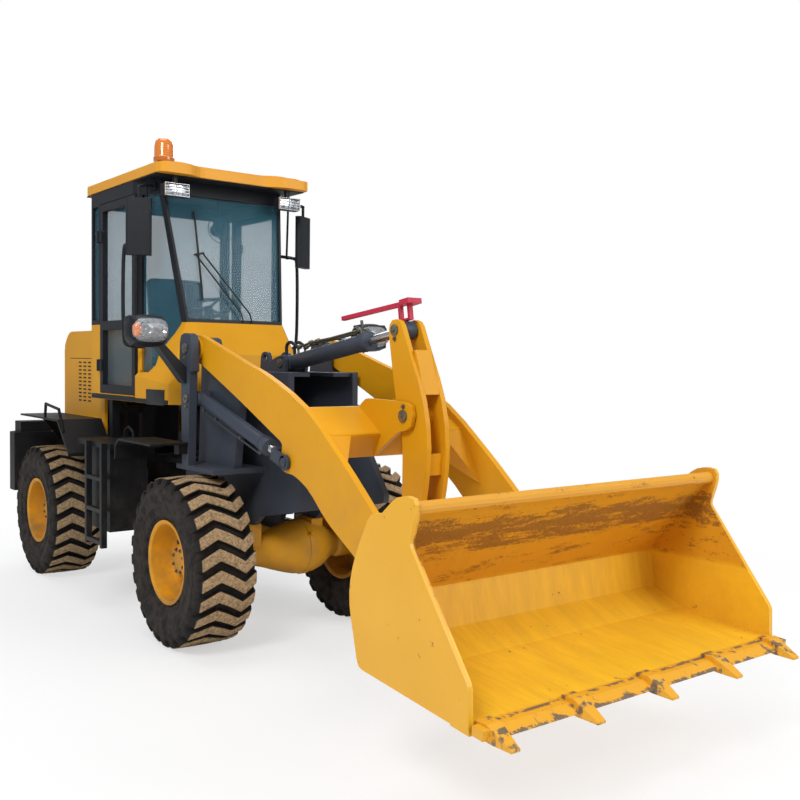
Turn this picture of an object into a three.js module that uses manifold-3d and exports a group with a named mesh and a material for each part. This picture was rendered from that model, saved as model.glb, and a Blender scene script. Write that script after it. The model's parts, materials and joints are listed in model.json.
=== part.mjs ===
// Compact articulated wheel loader with a raised, level bucket.
// Millimetres, +X forward, +Y to the machine's left, +Z up, standing on its tyres at z = 0.
// The pieces are laid out from the front axle, and the last lines centre the whole machine on the origin.
import * as THREE from "three";
import { mergeVertices } from "three/addons/utils/BufferGeometryUtils.js";
import { ConvexGeometry } from "three/addons/geometries/ConvexGeometry.js";
import Module from "manifold-3d";

const wasm = await Module();
wasm.setup();

// ---- driving dimensions ----
const seat = 0.3; // gap between pieces that are bolted or welded to each other
const pinGap = 0.4; // least gap of a pin in its eye
const sideGap = 6; // free play beside a swinging piece
const pinSides = 16;
const rimSides = 20;
const right = -1;
const left = 1;

const wheelbase = 2556;
const wheelTrack = 1310;
const tyreRadius = 537.5;
const tyreWidth = 410;
const treadWidth = 355;
const rimRadius = 254;
const rimWidth = 350;
const rimLip = 14;
const axleRadius = 85;
const stubRadius = 60;

const railInner = 220;
const railThickness = 40;
const railBottom = 650;
const frontRailBottom = 735;
const railTop = 1000;
const pivotPinRadius = 32;
const pivotLugRadius = 95;
const lowerPivotZ = 580;
const upperPivotZ = 1020;
const lugThickness = 40;

const counterweightHalf = 850;
const rearEnd = -3420;
const counterweightFront = -3115;
const counterweightBottom = 640;
const counterweightTop = 1150;

const cabHalf = 600;
const cabRear = -1915;
const cabShoulder = -1090; // where the side turns in towards the windscreen
const cabWall = 45;
const cabFloor = 1500;
const beltLine = 2075;
const cabTop = 3100;
const screenFoot = -640; // windscreen plane at the belt line
const screenLean = 0.214; // how far the windscreen falls back for each unit of height
const doorRear = -1735;
const doorFront = -1045;
const doorBottom = 1545;
const doorTop = 3000;
const doorGap = 5;
const glassThickness = 6;
const roofFront = -612;
const roofRear = -2040;
const roofHalf = 607;
const roofThickness = 100;
const beaconRadius = 64;
const beaconHeight = 168;

const hoodHalf = 480;
const hoodFront = -1950;
const hoodRear = -2900;
const hoodBottom = 1150;
const hoodTop = 2040;
const hoodWall = 25;

const platformTop = 1205;
const platformInner = 410;
const platformOuter = 800;
const platformFront = -1010;
const platformRear = -1690;
const platformThickness = 40;

const armInner = 490;
const armThickness = 40;
const armPivot = new THREE.Vector2(-170, 1885);
const armPinRadius = 34;
const bucketPin = new THREE.Vector2(2130, 660);
const bucketPinRadius = 32;
const armEndRadius = 82;

const liftBase = new THREE.Vector2(-150, 1560);
const liftEye = new THREE.Vector2(960, 1240);
const liftPlane = 510; // the lift cylinders lie in the planes of the arms
const liftBarrelRadius = 45;
const liftRodRadius = 26;
const liftBarrelLength = 925;
const liftRodInside = 400;

const tiltBase = new THREE.Vector2(140, 1798);
const tiltEye = new THREE.Vector2(1365, 1994);
const tiltBarrelRadius = 52;
const tiltRodRadius = 26;
const tiltBarrelLength = 890;
const tiltRodInside = 190;

const crankPivot = new THREE.Vector2(1490, 1520);
const crankFoot = new THREE.Vector2(1505, 1000);
const crankInner = 50;
const crankThickness = 32;
const crankPinRadius = 30;
const linkPin = new THREE.Vector2(2170, 860);
const linkHalf = 40;
const linkPinRadius = 28;

const bucketHalf = 1011;
const bucketCorner = new THREE.Vector2(2330, 512); // lower rear corner
const bucketPitch = THREE.MathUtils.degToRad(5);
const bucketSide = 16;
const bucketStrip = 10;
const bucketShell = 16;
const bucketFloorFront = 700;
const toothCount = 5;
const toothInset = 77; // from the bucket's side to the middle of its outer tooth
const toothSpacing = (2 * (bucketHalf - toothInset)) / (toothCount - 1);
const toothTip = 894;

const steerBase = new THREE.Vector2(-270, 210); // from the steering pivot
const steerEye = new THREE.Vector2(290, 230);
const steerZ = 800;
const steerEyeHalf = 40;
const steerPinRadius = 18;
const steerBarrelRadius = 34;
const steerRodRadius = 18;
const steerBarrelLength = 340;
const steerRodInside = 112;

const pivotX = -wheelbase / 2;
const armOuter = armInner + armThickness;
const railOuter = railInner + railThickness;
const wheelPlane = wheelTrack / 2;

// ---- colours ----
const paint = (color, roughness = 0.45, metalness = 0.1) =>
  new THREE.MeshStandardMaterial({ color, roughness, metalness });
const yellow = paint(0xe5a715);
const roofYellow = paint(0xe8a634);
const frameBlue = paint(0x2d323c, 0.5);
const black = paint(0x17181b, 0.6);
const rubber = paint(0x3b3733, 0.9, 0);
const glass = paint(0x9fc4c4, 0.05, 0);
glass.transparent = true;
glass.opacity = 0.35;
const steel = paint(0xb9bcc0, 0.2, 0.9);
const red = paint(0xc23a4e, 0.4);
const amber = paint(0xe07a20, 0.2, 0);
const fabric = paint(0x1d1d1f, 0.9, 0);
const lampWhite = paint(0xdadfe2, 0.15, 0.3);

// ---- solids ----
// A closed geometry becomes a solid that can be joined and cut.
function solid(geometry) {
  const bare = geometry.index ? geometry.toNonIndexed() : geometry.clone();
  const position = new THREE.BufferGeometry().setAttribute("position", bare.getAttribute("position"));
  const merged = mergeVertices(position, 1e-3);
  return new wasm.Manifold(
    new wasm.Mesh({
      numProp: 3,
      vertProperties: merged.attributes.position.array,
      triVerts: new Uint32Array(merged.index.array),
    }),
  );
}

const join = (...solids) => solids.reduce((a, b) => a.add(b));
const cut = (body, ...tools) => tools.reduce((a, b) => a.subtract(b), body);

function box(x0, x1, y0, y1, z0, z1) {
  const geometry = new THREE.BoxGeometry(Math.abs(x1 - x0), Math.abs(y1 - y0), Math.abs(z1 - z0));
  return solid(geometry.translate((x0 + x1) / 2, (y0 + y1) / 2, (z0 + z1) / 2));
}

// An outline of [a, b] points, where a third number rounds the corner.
function outline(points) {
  const shape = new THREE.Shape();
  points.forEach(([a, b, r], i) => {
    const here = new THREE.Vector2(a, b);
    const before = new THREE.Vector2(...points[(i + points.length - 1) % points.length]);
    const after = new THREE.Vector2(...points[(i + 1) % points.length]);
    const toward = (other) => {
      const edge = other.clone().sub(here);
      return here.clone().add(edge.setLength(Math.min(r, edge.length() * 0.49)));
    };
    const start = r ? toward(before) : here;
    const end = r ? toward(after) : here;
    if (i === 0) shape.moveTo(start.x, start.y);
    else shape.lineTo(start.x, start.y);
    if (r) shape.quadraticCurveTo(a, b, end.x, end.y);
  });
  shape.closePath();
  return shape;
}

const extrude = (shape, depth, curveSegments = 2) =>
  new THREE.ExtrudeGeometry(shape, { depth, bevelEnabled: false, curveSegments });
const asShape = (points) => (points instanceof THREE.Shape ? points : outline(points));

// Plates drawn from the side (x, z), from above (x, y) and from the front (y, z).
function sidePlate(points, y0, y1) {
  const [low, high] = [Math.min(y0, y1), Math.max(y0, y1)];
  return solid(extrude(asShape(points), high - low).rotateX(Math.PI / 2).translate(0, high, 0));
}
function flatPlate(points, z0, z1) {
  return solid(extrude(asShape(points), z1 - z0).translate(0, 0, z0));
}
function crossPlate(points, x0, x1) {
  const turn = new THREE.Matrix4().set(0, 0, 1, x0, 1, 0, 0, 0, 0, 1, 0, 0, 0, 0, 0, 1);
  return solid(extrude(asShape(points), x1 - x0).applyMatrix4(turn));
}

function rod(from, to, radius, sides = 12, endRadius = radius, turn = 0) {
  const axis = to.clone().sub(from);
  const geometry = new THREE.CylinderGeometry(endRadius, radius, axis.length(), sides).rotateY(turn);
  const direction = axis.clone().normalize();
  const aim = new THREE.Quaternion().setFromUnitVectors(new THREE.Vector3(0, 1, 0), direction);
  const middle = from.clone().add(to).multiplyScalar(0.5);
  return solid(geometry.applyQuaternion(aim).translate(middle.x, middle.y, middle.z));
}
// A round bar across the machine, at a place given from the side.
function crossRod(at, y0, y1, radius, sides = pinSides, turn = 0) {
  const from = new THREE.Vector3(at.x, Math.min(y0, y1), at.y);
  const to = new THREE.Vector3(at.x, Math.max(y0, y1), at.y);
  return rod(from, to, radius, sides, radius, turn);
}
// The hole that a pin of this radius turns in, clear of its corners at every angle.
const eyeRadius = (pinRadius, sides = pinSides) => (pinRadius + pinGap) / Math.cos(Math.PI / sides);
const eyeHole = (at, pinRadius) =>
  crossRod(at, -700, 700, eyeRadius(pinRadius), pinSides, Math.PI / pinSides);

function hull(points) {
  return solid(new ConvexGeometry(points.map((p) => new THREE.Vector3(...p))));
}

// A bent tube or bar with sharp corners, joined from straight runs.
function barRun(points, radius, sides = 5) {
  const at = points.map((p) => new THREE.Vector3(...p));
  const runs = at.slice(1).map((p, i) => rod(at[i], p, radius, sides));
  const knees = at
    .slice(1, -1)
    .map((p) => solid(new THREE.IcosahedronGeometry(radius * 1.12).translate(p.x, p.y, p.z)));
  return join(...runs, ...knees);
}

// A turned piece: [radius, place along the axis] points, about the Y axis of its own frame.
function turned(points, sides, turn = 0) {
  const profile = points.map(([r, a]) => new THREE.Vector2(r, a));
  const made = solid(new THREE.LatheGeometry(profile, sides, turn));
  if (made.volume() > 0) return made;
  return solid(new THREE.LatheGeometry(profile.reverse(), sides, turn));
}

const machine = new THREE.Group();
const model = new THREE.Group();
model.add(machine);

function place(name, body, material, parent = machine) {
  const { numProp, vertProperties, triVerts } = body.getMesh();
  const points = new Float32Array((vertProperties.length / numProp) * 3);
  for (let i = 0; i < points.length / 3; i++) {
    points.set(vertProperties.subarray(i * numProp, i * numProp + 3), i * 3);
  }
  const geometry = new THREE.BufferGeometry()
    .setAttribute("position", new THREE.BufferAttribute(points, 3))
    .setIndex(new THREE.BufferAttribute(triVerts, 1));
  geometry.computeVertexNormals();
  const mesh = new THREE.Mesh(geometry, material);
  mesh.name = name;
  parent.add(mesh);
  return mesh;
}

const sideName = (side) => (side === right ? "right" : "left");
const bothSides = (make) => [right, left].forEach(make);

// ---- wheels ----
function makeRim() {
  const half = rimWidth / 2;
  const bore = eyeRadius(stubRadius, rimSides);
  return turned(
    [
      [0, 85],
      [92, 85],
      [108, 68],
      [108, 12],
      [rimRadius - 20, 12],
      [rimRadius + rimLip, half],
      [rimRadius + rimLip, half - 14],
      [rimRadius, half - 14],
      [rimRadius, 14 - half],
      [rimRadius + rimLip, 14 - half],
      [rimRadius + rimLip, -half],
      [rimRadius - 20, -8],
      [108, -8],
      [108, -70],
      [bore, -70],
      [bore, 65],
      [0, 65],
    ],
    rimSides,
    Math.PI / rimSides,
  );
}

const tyreSides = 32;
function makeTyre() {
  // Its flats, not its corners, lie on the tyre's radius, so that it stands on a flat.
  const tread = tyreRadius / Math.cos(Math.PI / tyreSides);
  const bead = rimWidth / 2 - 16;
  const half = tyreWidth / 2;
  const inner = (rimRadius + seat) / Math.cos(Math.PI / tyreSides);
  const wall = [
    [inner, bead],
    [rimRadius + rimLip + 8, bead],
    [rimRadius + rimLip + 14, bead + 16],
    [400, half],
    [480, half - 10],
    [tread, treadWidth / 2],
  ];
  const mirrored = wall.map(([r, a]) => [r, -a]).reverse();
  return turned([...wall, ...mirrored, wall[0]], tyreSides, Math.PI / tyreSides);
}

[
  ["front", 0],
  ["rear", -wheelbase],
].forEach(([end, x]) =>
  bothSides((side) => {
    const wheel = new THREE.Group();
    wheel.position.set(x, side * wheelPlane, tyreRadius);
    wheel.rotation.z = side === left ? 0 : Math.PI;
    machine.add(wheel);
    place(`${end}_${sideName(side)}_rim`, makeRim(), yellow, wheel);
    place(`${end}_${sideName(side)}_tyre`, makeTyre(), rubber, wheel);
  }),
);

// ---- axles ----
function makeAxle(x, diffY, diffReach, shaftEnd, padTop) {
  const centre = new THREE.Vector2(x, tyreRadius);
  const stubEnd = wheelPlane + 60;
  const housing = crossRod(centre, -440, 440, axleRadius, 16);
  const stubs = crossRod(centre, -stubEnd, stubEnd, stubRadius, rimSides);
  const flanges = join(...[right, left].map((s) => crossRod(centre, s * 440, s * 575, 105, 16)));
  const diff = solid(new THREE.SphereGeometry(185, 14, 8).translate(x + diffReach, diffY, tyreRadius));
  const shoulders = join(
    rod(new THREE.Vector3(x, diffY, tyreRadius), new THREE.Vector3(x, diffY - 350, tyreRadius), 150, 12, 84),
    rod(new THREE.Vector3(x, diffY, tyreRadius), new THREE.Vector3(x, diffY + 250, tyreRadius), 150, 12, 84),
  );
  const shaft = rod(
    new THREE.Vector3(x, diffY, tyreRadius + 30),
    new THREE.Vector3(shaftEnd, diffY, tyreRadius + 30),
    38,
    10,
  );
  const pads = join(
    ...[right, left].map((s) => {
      const y = s * (railInner + railThickness / 2);
      return box(x - 90, x + 90, y - 45, y + 45, tyreRadius, padTop - seat);
    }),
  );
  return join(housing, stubs, flanges, diff, shoulders, shaft, pads);
}
place("front_axle", makeAxle(0, 150, 20, -860, frontRailBottom), yellow);
place("rear_axle", makeAxle(-wheelbase, 0, -20, -2110, railBottom), yellow);

// ---- rear frame ----
function lug(x, z0, z1, from) {
  return flatPlate(
      [
        [from, -150],
        [x, -pivotLugRadius, 60],
        [x + Math.sign(x - from) * pivotLugRadius, -60, 50],
        [x + Math.sign(x - from) * pivotLugRadius, 60, 50],
        [x, pivotLugRadius, 60],
        [from, 150],
      ],
      z0,
      z1,
  );
}
const rearPlateX = pivotX - 322;
// A shelf under the eye of a steering cylinder.
function steerLug(x0, x1, y) {
  return box(x0, x1, y - 45, y + 45, steerZ - steerEyeHalf - 21, steerZ - steerEyeHalf - 1);
}
function makeRearFrame() {
  const rail = (side) =>
    sidePlate(
      [
        [counterweightFront + seat, 700],
        [counterweightFront + seat, railTop - 60],
        [-2950, railTop],
        [rearPlateX, railTop + 60],
        [rearPlateX, 545],
        [-1760, 545],
        [-1960, railBottom],
        [-2900, railBottom],
      ],
      side * railInner,
      side * railOuter,
    );
  const endPlate = box(rearPlateX - 40, rearPlateX, -railOuter, railOuter, 545, railTop + 60);
  const tailPlate = box(counterweightFront + seat, counterweightFront + 30, -railOuter, railOuter, 700, 940);
  const crossTube = box(-2060, -1980, -railOuter, railOuter, 760, 960);
  const lugs = [lowerPivotZ, upperPivotZ].map((z) =>
    cut(
      lug(pivotX, z - lugThickness / 2, z + lugThickness / 2, rearPlateX),
      rod(
        new THREE.Vector3(pivotX, 0, z - 100),
        new THREE.Vector3(pivotX, 0, z + 100),
        eyeRadius(pivotPinRadius),
        pinSides,
        eyeRadius(pivotPinRadius),
        Math.PI / pinSides,
      ),
    ),
  );
  const steerLugs = [right, left].map((s) =>
    join(
      steerLug(rearPlateX - 5, pivotX + steerBase.x + 42, s * steerBase.y),
      rod(
        new THREE.Vector3(pivotX + steerBase.x, s * steerBase.y, steerZ - steerEyeHalf - 10),
        new THREE.Vector3(pivotX + steerBase.x, s * steerBase.y, steerZ + steerEyeHalf + 10),
        steerPinRadius,
        pinSides,
      ),
    ),
  );
  // Outriggers that carry the platforms, the cab and the rear mudguards.
  const outriggerTop = platformTop - platformThickness - seat;
  const outriggers = [right, left].flatMap((s) => [
    box(-1640, -1560 - seat, s * railInner, s * (platformOuter - 40), 1060, outriggerTop),
    box(-1900, -1840, s * railInner, s * 330, 900, cabFloor - seat),
    box(-1630, -1580, s * railInner, s * (500 - seat), 1390, 1440),
    box(-1900, -1560, s * railInner, s * 320, 1390, 1440),
    box(-1640, -1570, s * railInner, s * 320, 940, 1440),
  ]);
  return join(rail(right), rail(left), endPlate, tailPlate, crossTube, ...lugs, ...steerLugs, ...outriggers);
}
place("rear_frame", makeRearFrame(), frameBlue);

// ---- counterweight ----
const counterweight = join(
  flatPlate(
    [
      [counterweightFront, -counterweightHalf],
      [counterweightFront, counterweightHalf],
      [rearEnd + 120, counterweightHalf, 60],
      [rearEnd, counterweightHalf - 160, 60],
      [rearEnd, 160 - counterweightHalf, 60],
      [rearEnd + 120, -counterweightHalf, 60],
    ].reverse(),
    counterweightBottom,
    counterweightTop,
  ),
  box(counterweightFront - 10, -2870, -480, 480, 1010, counterweightTop - seat),
  box(-3300, -3130, -790, -520, counterweightTop - 10, counterweightTop + 95),
  box(-3300, -3130, 520, 790, counterweightTop - 10, counterweightTop + 95),
);
place("counterweight", counterweight, frameBlue);

// ---- engine ----
place("engine_block", box(-2820, -2080, seat - railInner, railInner - seat, 780, hoodTop - 330), black);

// ---- hood ----
const hoodOutline = (wall) => [
  [hoodRear + wall, hoodBottom - (wall ? 1 : 0)],
  [hoodFront + (wall ? 1 : 0), hoodBottom - (wall ? 1 : 0)],
  [hoodFront + (wall ? 1 : 0), hoodTop - wall],
  [hoodRear + 120 + wall * 0.6, hoodTop - wall, 60],
  [hoodRear + wall, hoodTop - 110 - wall * 0.6, 60],
];
const grilleHalf = 370;
const grilleBottom = 1330;
const grilleTop = 1860;
const hoodShell = cut(
  sidePlate(hoodOutline(0), -hoodHalf, hoodHalf),
  sidePlate(hoodOutline(hoodWall), hoodWall - hoodHalf, hoodHalf - hoodWall),
  box(hoodRear - 10, hoodRear + hoodWall + 10, -grilleHalf, grilleHalf, grilleBottom, grilleTop),
);
place("engine_hood", hoodShell, yellow);
const slat = (z) => box(hoodRear + 4, hoodRear + hoodWall, seat - grilleHalf, grilleHalf - seat, z, z + 22);
const slatCount = 7;
const grille = join(
  ...Array.from({ length: slatCount }, (_, i) =>
    slat(grilleBottom + seat + (i * (grilleTop - grilleBottom - 22 - 2 * seat)) / (slatCount - 1)),
  ),
  ...[seat - grilleHalf, -15, grilleHalf - 30 - seat].map((y) =>
    box(hoodRear + 8, hoodRear + hoodWall, y, y + 30, grilleBottom + seat, grilleTop - seat),
  ),
);
place("hood_grille", grille, black);

// ---- cab ----
const screenX = (z) => screenFoot - (z - beltLine) * screenLean;
const cornerSlope = 0.476; // how the corner panel comes in from the side
const cornerY = (x) => cabHalf - (x - cabShoulder) * cornerSlope;
const cabFrontX = screenX(cabFloor);
function cabPrism(inset, z0, z1) {
  const front = cabFrontX - inset;
  const plan = [
    [cabRear + inset, inset - cabHalf],
    [cabShoulder - inset * 0.3, inset - cabHalf],
    [front, inset * 1.1 - cornerY(front)],
    [front, cornerY(front) - inset * 1.1],
    [cabShoulder - inset * 0.3, cabHalf - inset],
    [cabRear + inset, cabHalf - inset],
  ];
  const ahead = sidePlate(
    [
      [screenX(z0 - 10) - inset, z0 - 10],
      [0, z0 - 10],
      [0, z1 + 10],
      [screenX(z1 + 10) - inset, z1 + 10],
    ],
    -1000,
    1000,
  );
  return cut(flatPlate(plan, z0, z1), ahead);
}

// The nose below the windscreen, wider and lower than the glass.
function noseHull(grow) {
  const point = (x, y, z) => [
    [x + grow, y + grow, z],
    [x + grow, -y - grow, z],
  ];
  return hull([
    ...point(-585, 350, beltLine + grow),
    ...point(-645, 392, beltLine + grow),
    ...point(-480, 395, 1850),
    ...point(-800, 480, 1880),
    ...point(-450, 420, cabFloor),
    ...point(-560, 560, cabFloor),
    ...point(-560, 560, 1640),
    ...point(-1046 - grow, cabHalf, cabFloor),
    ...point(-1046 - grow, cabHalf, 1690),
  ]);
}
const cabInside = cabPrism(cabWall, cabFloor + 40, cabTop + 20);
const doorOpening = box(doorRear, doorFront, -700, 700, doorBottom, doorTop);
// The corner window stands between the door post and the screen post and reaches below the belt line.
const cornerDir = new THREE.Vector3(cornerSlope, 1, 0).normalize();
function cornerPane(side, grow, depth0, depth1) {
  const part = (corners) =>
    hull(
      corners.flatMap(([x, z]) =>
        [depth0, depth1].map((depth) => {
          const p = new THREE.Vector3(x, cornerY(x), z).addScaledVector(cornerDir, -depth);
          return [p.x, side * p.y, p.z];
        }),
      ),
    );
  const lower = part([
    [-1010 - grow, 1718 - grow],
    [-850 + grow, 1718 - grow],
    [-842 + grow, 1862],
    [-1010 - grow, 1862],
  ]);
  const upper = part([
    [-1010 - grow, 1860],
    [-842 + grow, 1860],
    [-685 + grow * 1.5, beltLine - 10],
    [screenX(2990) - 32 + grow, 2990 + grow],
    [-1010 - grow, 2990 + grow],
  ]);
  return join(lower, upper);
}
const screenDir = new THREE.Vector3(1, 0, screenLean).normalize();
const screenPost = 18; // how much of the slim corner post the windscreen leaves
function screenPane(grow, depth0, depth1) {
  const bottom = beltLine + 28 - grow;
  const top = 2995 + grow;
  const points = [bottom, top].flatMap((z) => {
    const half = cornerY(screenX(z)) - screenPost + grow;
    return [-half, half].flatMap((y) =>
      [depth0, depth1].map((d) => {
        const p = new THREE.Vector3(screenX(z), y, z).addScaledVector(screenDir, -d);
        return [p.x, p.y, p.z];
      }),
    );
  });
  return hull(points);
}
const quarterRear = -1885;
const quarterFront = -1765;
const windowBottom = beltLine + 35;
const windowTop = 2990;
const rearWindowHalf = 520;
const windowTools = [
  doorOpening,
  screenPane(seat, -60, 90),
  cornerPane(right, seat, -60, 90),
  cornerPane(left, seat, -60, 90),
  box(quarterRear, quarterFront, -700, 700, windowBottom, windowTop),
  box(cabRear - 50, cabRear + 80, -rearWindowHalf, rearWindowHalf, windowBottom, windowTop),
];
const cabFrame = cut(cabPrism(0, beltLine + seat, cabTop), cabInside, ...windowTools);
place("cab_frame", cabFrame, black);
const cabBody = cut(join(cabPrism(0, cabFloor, beltLine), noseHull(0)), cabInside, ...windowTools);
place("cab_body", cabBody, yellow);

const paneDepth = 20;
place("windscreen", screenPane(0, paneDepth, paneDepth + glassThickness), glass);
bothSides((side) => {
  const name = sideName(side);
  const outer = side * (cabHalf - paneDepth);
  const inner = side * (cabHalf - paneDepth - glassThickness);
  place(`corner_glass_${name}`, cornerPane(side, 0, paneDepth, paneDepth + glassThickness), glass);
  place(
    `quarter_glass_${name}`,
    box(quarterRear + seat, quarterFront - seat, outer, inner, windowBottom + seat, windowTop - seat),
    glass,
  );
});
place(
  "rear_glass",
  box(
    cabRear + paneDepth,
    cabRear + paneDepth + glassThickness,
    seat - rearWindowHalf,
    rearWindowHalf - seat,
    windowBottom + seat,
    windowTop - seat,
  ),
  glass,
);

// Doors hang on hinges at their rear edge.
const doorThickness = 40;
const doorHinge = new THREE.Vector2(doorRear, cabHalf + 13.4);
bothSides((side) => {
  const name = sideName(side);
  const outer = side * cabHalf;
  const inner = side * (cabHalf - doorThickness);
  const [x0, x1] = [doorRear + doorGap, doorFront - doorGap];
  const [z0, z1] = [doorBottom + doorGap, doorTop - doorGap];
  const stile = 55;
  const railZ = 2030;
  const panel = cut(
    box(x0, x1, outer, inner, z0, z1),
    box(x0 + stile, x1 - stile, outer + side, inner - side, railZ + 70, z1 - stile),
    box(x0 + stile, x1 - stile, outer + side, inner - side, z0 + 60, railZ),
  );
  const knuckles = [1760, 2750].map((z) =>
    join(
      rod(
        new THREE.Vector3(doorHinge.x, side * doorHinge.y, z - 45),
        new THREE.Vector3(doorHinge.x, side * doorHinge.y, z + 45),
        13,
        12,
      ),
      box(doorHinge.x, x0 + 60, side * (cabHalf - 5), side * (cabHalf + 14), z - 40, z + 40),
    ),
  );
  const handle = box(x1 - 130, x1 - 20, side * (cabHalf - 5), side * (cabHalf + 22), 1990, 2035);
  place(`cab_door_${name}`, join(panel, ...knuckles, handle), black);
  place(
    `door_glass_${name}`,
    box(
      x0 + 25,
      x1 - 25,
      inner - side * seat,
      inner - side * (seat + glassThickness),
      z0 + 30,
      z1 - 30,
    ),
    glass,
  );
});

// ---- roof and beacon ----
const roofCrown = 32;
function roofPlan(inset) {
  return [
    [roofRear + inset, inset - roofHalf, 60],
    [roofFront - inset, inset - roofHalf, 60],
    [roofFront - inset, 240 - roofHalf, 40],
    [roofFront - 60 - inset, 330 - roofHalf, 40],
    [roofFront - 60 - inset, roofHalf - 330, 40],
    [roofFront - inset, roofHalf - 240, 40],
    [roofFront - inset, roofHalf - inset, 60],
    [roofRear + inset, roofHalf - inset, 60],
  ];
}
const roofBase = cabTop + seat;
const roofEdgeTop = roofBase + roofThickness - roofCrown;
const lampX = -700;
const workLamps = [right, left].flatMap((s) => [
  box(lampX - 35, lampX + 35, s * 365, s * 545, 2950, 3035),
  box(lampX - 12, lampX + 12, s * 440, s * 470, 3020, roofBase + 10),
]);
const roof = join(
  flatPlate(roofPlan(0), roofBase, roofEdgeTop),
  flatPlate(roofPlan(45), roofEdgeTop - 5, roofEdgeTop + roofCrown / 2),
  flatPlate(roofPlan(110), roofEdgeTop - 5, roofEdgeTop + roofCrown),
  ...workLamps,
);
place("cab_roof", roof, roofYellow);
const roofTop = roofEdgeTop + roofCrown;
const beaconPlace = new THREE.Vector2(-805, -488);
const beacon = new THREE.Group();
beacon.position.set(beaconPlace.x, beaconPlace.y, roofTop + seat);
beacon.rotation.x = Math.PI / 2;
machine.add(beacon);
place(
  "beacon",
  turned(
    [
      [0, 0],
      [beaconRadius + 8, 0],
      [beaconRadius + 8, 30],
      [beaconRadius - 4, 38],
      [beaconRadius - 6, beaconHeight - 55],
      [beaconRadius - 22, beaconHeight - 15],
      [0, beaconHeight],
    ],
    16,
  ),
  amber,
  beacon,
);

// ---- mirrors ----
const mirrorToe = THREE.MathUtils.degToRad(30);
bothSides((side) => {
  const y = side * 670;
  // The head turns its glass back and in, towards the driver.
  const toe = new THREE.Vector2(Math.sin(mirrorToe), -side * Math.cos(mirrorToe));
  const headAt = (along, deep) => [-812 + toe.x * along - toe.y * deep, y + toe.y * along + toe.x * deep];
  const plan = [
    [...headAt(-88, -26), 16],
    [...headAt(88, -26), 16],
    [...headAt(88, 26), 24],
    [...headAt(-88, 26), 24],
  ];
  const head = flatPlate(plan, 2535, 2930);
  // Its foot lies flat on the corner panel, above the window.
  const footX = -915;
  const footAt = (out, t, z) => [
    footX + cornerDir.x * out + cornerDir.y * t,
    side * (cornerY(footX) + cornerDir.y * out - cornerDir.x * t),
    z,
  ];
  const foot = hull(
    [seat, 14].flatMap((out) => [-28, 28].flatMap((t) => [footAt(out, t, 3015), footAt(out, t, 3070)])),
  );
  const stay = barRun([footAt(12, 0, 3042), footAt(70, 0, 3042), [-812, y, 3010], [-812, y, 2900]], 12);
  const lower = barRun([footAt(70, 0, 3042), footAt(60, 0, 2610), [-812, y - side * 60, 2610]], 9);
  place(`mirror_${sideName(side)}`, join(head, foot, stay, lower), black);
});

// ---- inside the cab ----
const cabDeck = cabFloor + 40 + seat;
const seatBase = join(
  box(-1640, -1330, -190, 190, cabDeck, 1780),
  box(-1600, -1370, -230, 230, 1760, 1830),
);
place("seat_base", seatBase, black);
const cushion = join(
  sidePlate(
    [
      [-1690, 1830 + seat],
      [-1250, 1830 + seat, 50],
      [-1250, 1945, 50],
      [-1570, 1930, 40],
      [-1660, 2490, 60],
      [-1780, 2470, 60],
    ],
    -245,
    245,
  ),
);
place("driver_seat", cushion, fabric);
const wheelCentre = new THREE.Vector3(-1090, 0, 2200);
const columnFoot = new THREE.Vector3(-860, 0, cabDeck + 40);
const steeringTilt = new THREE.Quaternion().setFromUnitVectors(
  new THREE.Vector3(0, 0, 1),
  wheelCentre.clone().sub(columnFoot).normalize(),
);
const steeringRing = solid(
  new THREE.TorusGeometry(185, 15, 5, 14)
    .applyQuaternion(steeringTilt)
    .translate(wheelCentre.x, wheelCentre.y, wheelCentre.z),
);
const spokes = [0, 1, 2].map((i) => {
  const angle = (i * 2 * Math.PI) / 3;
  const reach = new THREE.Vector3(Math.cos(angle), Math.sin(angle), 0).multiplyScalar(183);
  return rod(wheelCentre, wheelCentre.clone().add(reach.applyQuaternion(steeringTilt)), 11, 6);
});
const steeringConsole = join(
  rod(columnFoot, wheelCentre.clone().lerp(columnFoot, -0.02), 38, 12),
  sidePlate(
    [
      [-890, cabDeck],
      [-760, cabDeck],
      [-740, 1960, 40],
      [-760, 2110, 40],
      [-900, 2080, 40],
    ],
    -270,
    270,
  ),
  steeringRing,
  ...spokes,
);
place("steering_console", steeringConsole, black);

// ---- side tanks with their platform and steps ----
bothSides((side) => {
  const span = (inner, outer) => [side * inner, side * outer];
  const slab = box(
    platformRear,
    platformFront,
    ...span(platformInner, platformOuter),
    platformTop - platformThickness,
    platformTop,
  );
  const tank = box(-1556, -1085, ...span(488, 770), 560, platformTop - 10);
  const rails = [-1395, -1095].map((x) =>
    box(x - 18, x + 18, ...span(platformOuter - 6, 836), 450, platformTop),
  );
  const rungs = [470, 700, 930].map((z) => box(-1395, -1095, ...span(platformOuter - 2, 836), z, z + 28));
  const stays = [500, 960].map((z) => box(-1265, -1215, ...span(760, 836), z - 30, z - 2));
  const cap = rod(
    new THREE.Vector3(-1130, side * 610, platformTop - 5),
    new THREE.Vector3(-1130, side * 610, platformTop + 32),
    48,
    16,
  );
  const hoop = barRun(
    [
      [-1215, side * 610, platformTop - 8],
      [-1200, side * 610, platformTop + 80],
      [-1130, side * 610, platformTop + 112],
      [-1060, side * 610, platformTop + 80],
      [-1045, side * 610, platformTop - 8],
    ],
    9,
  );
  const post = box(-1640, -1580, ...span(500, 560), platformTop - 10, cabFloor - seat);
  const sideTank = join(slab, post, tank, ...rails, ...rungs, ...stays, cap, hoop);
  place(`side_tank_${sideName(side)}`, sideTank, frameBlue);
});

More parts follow.
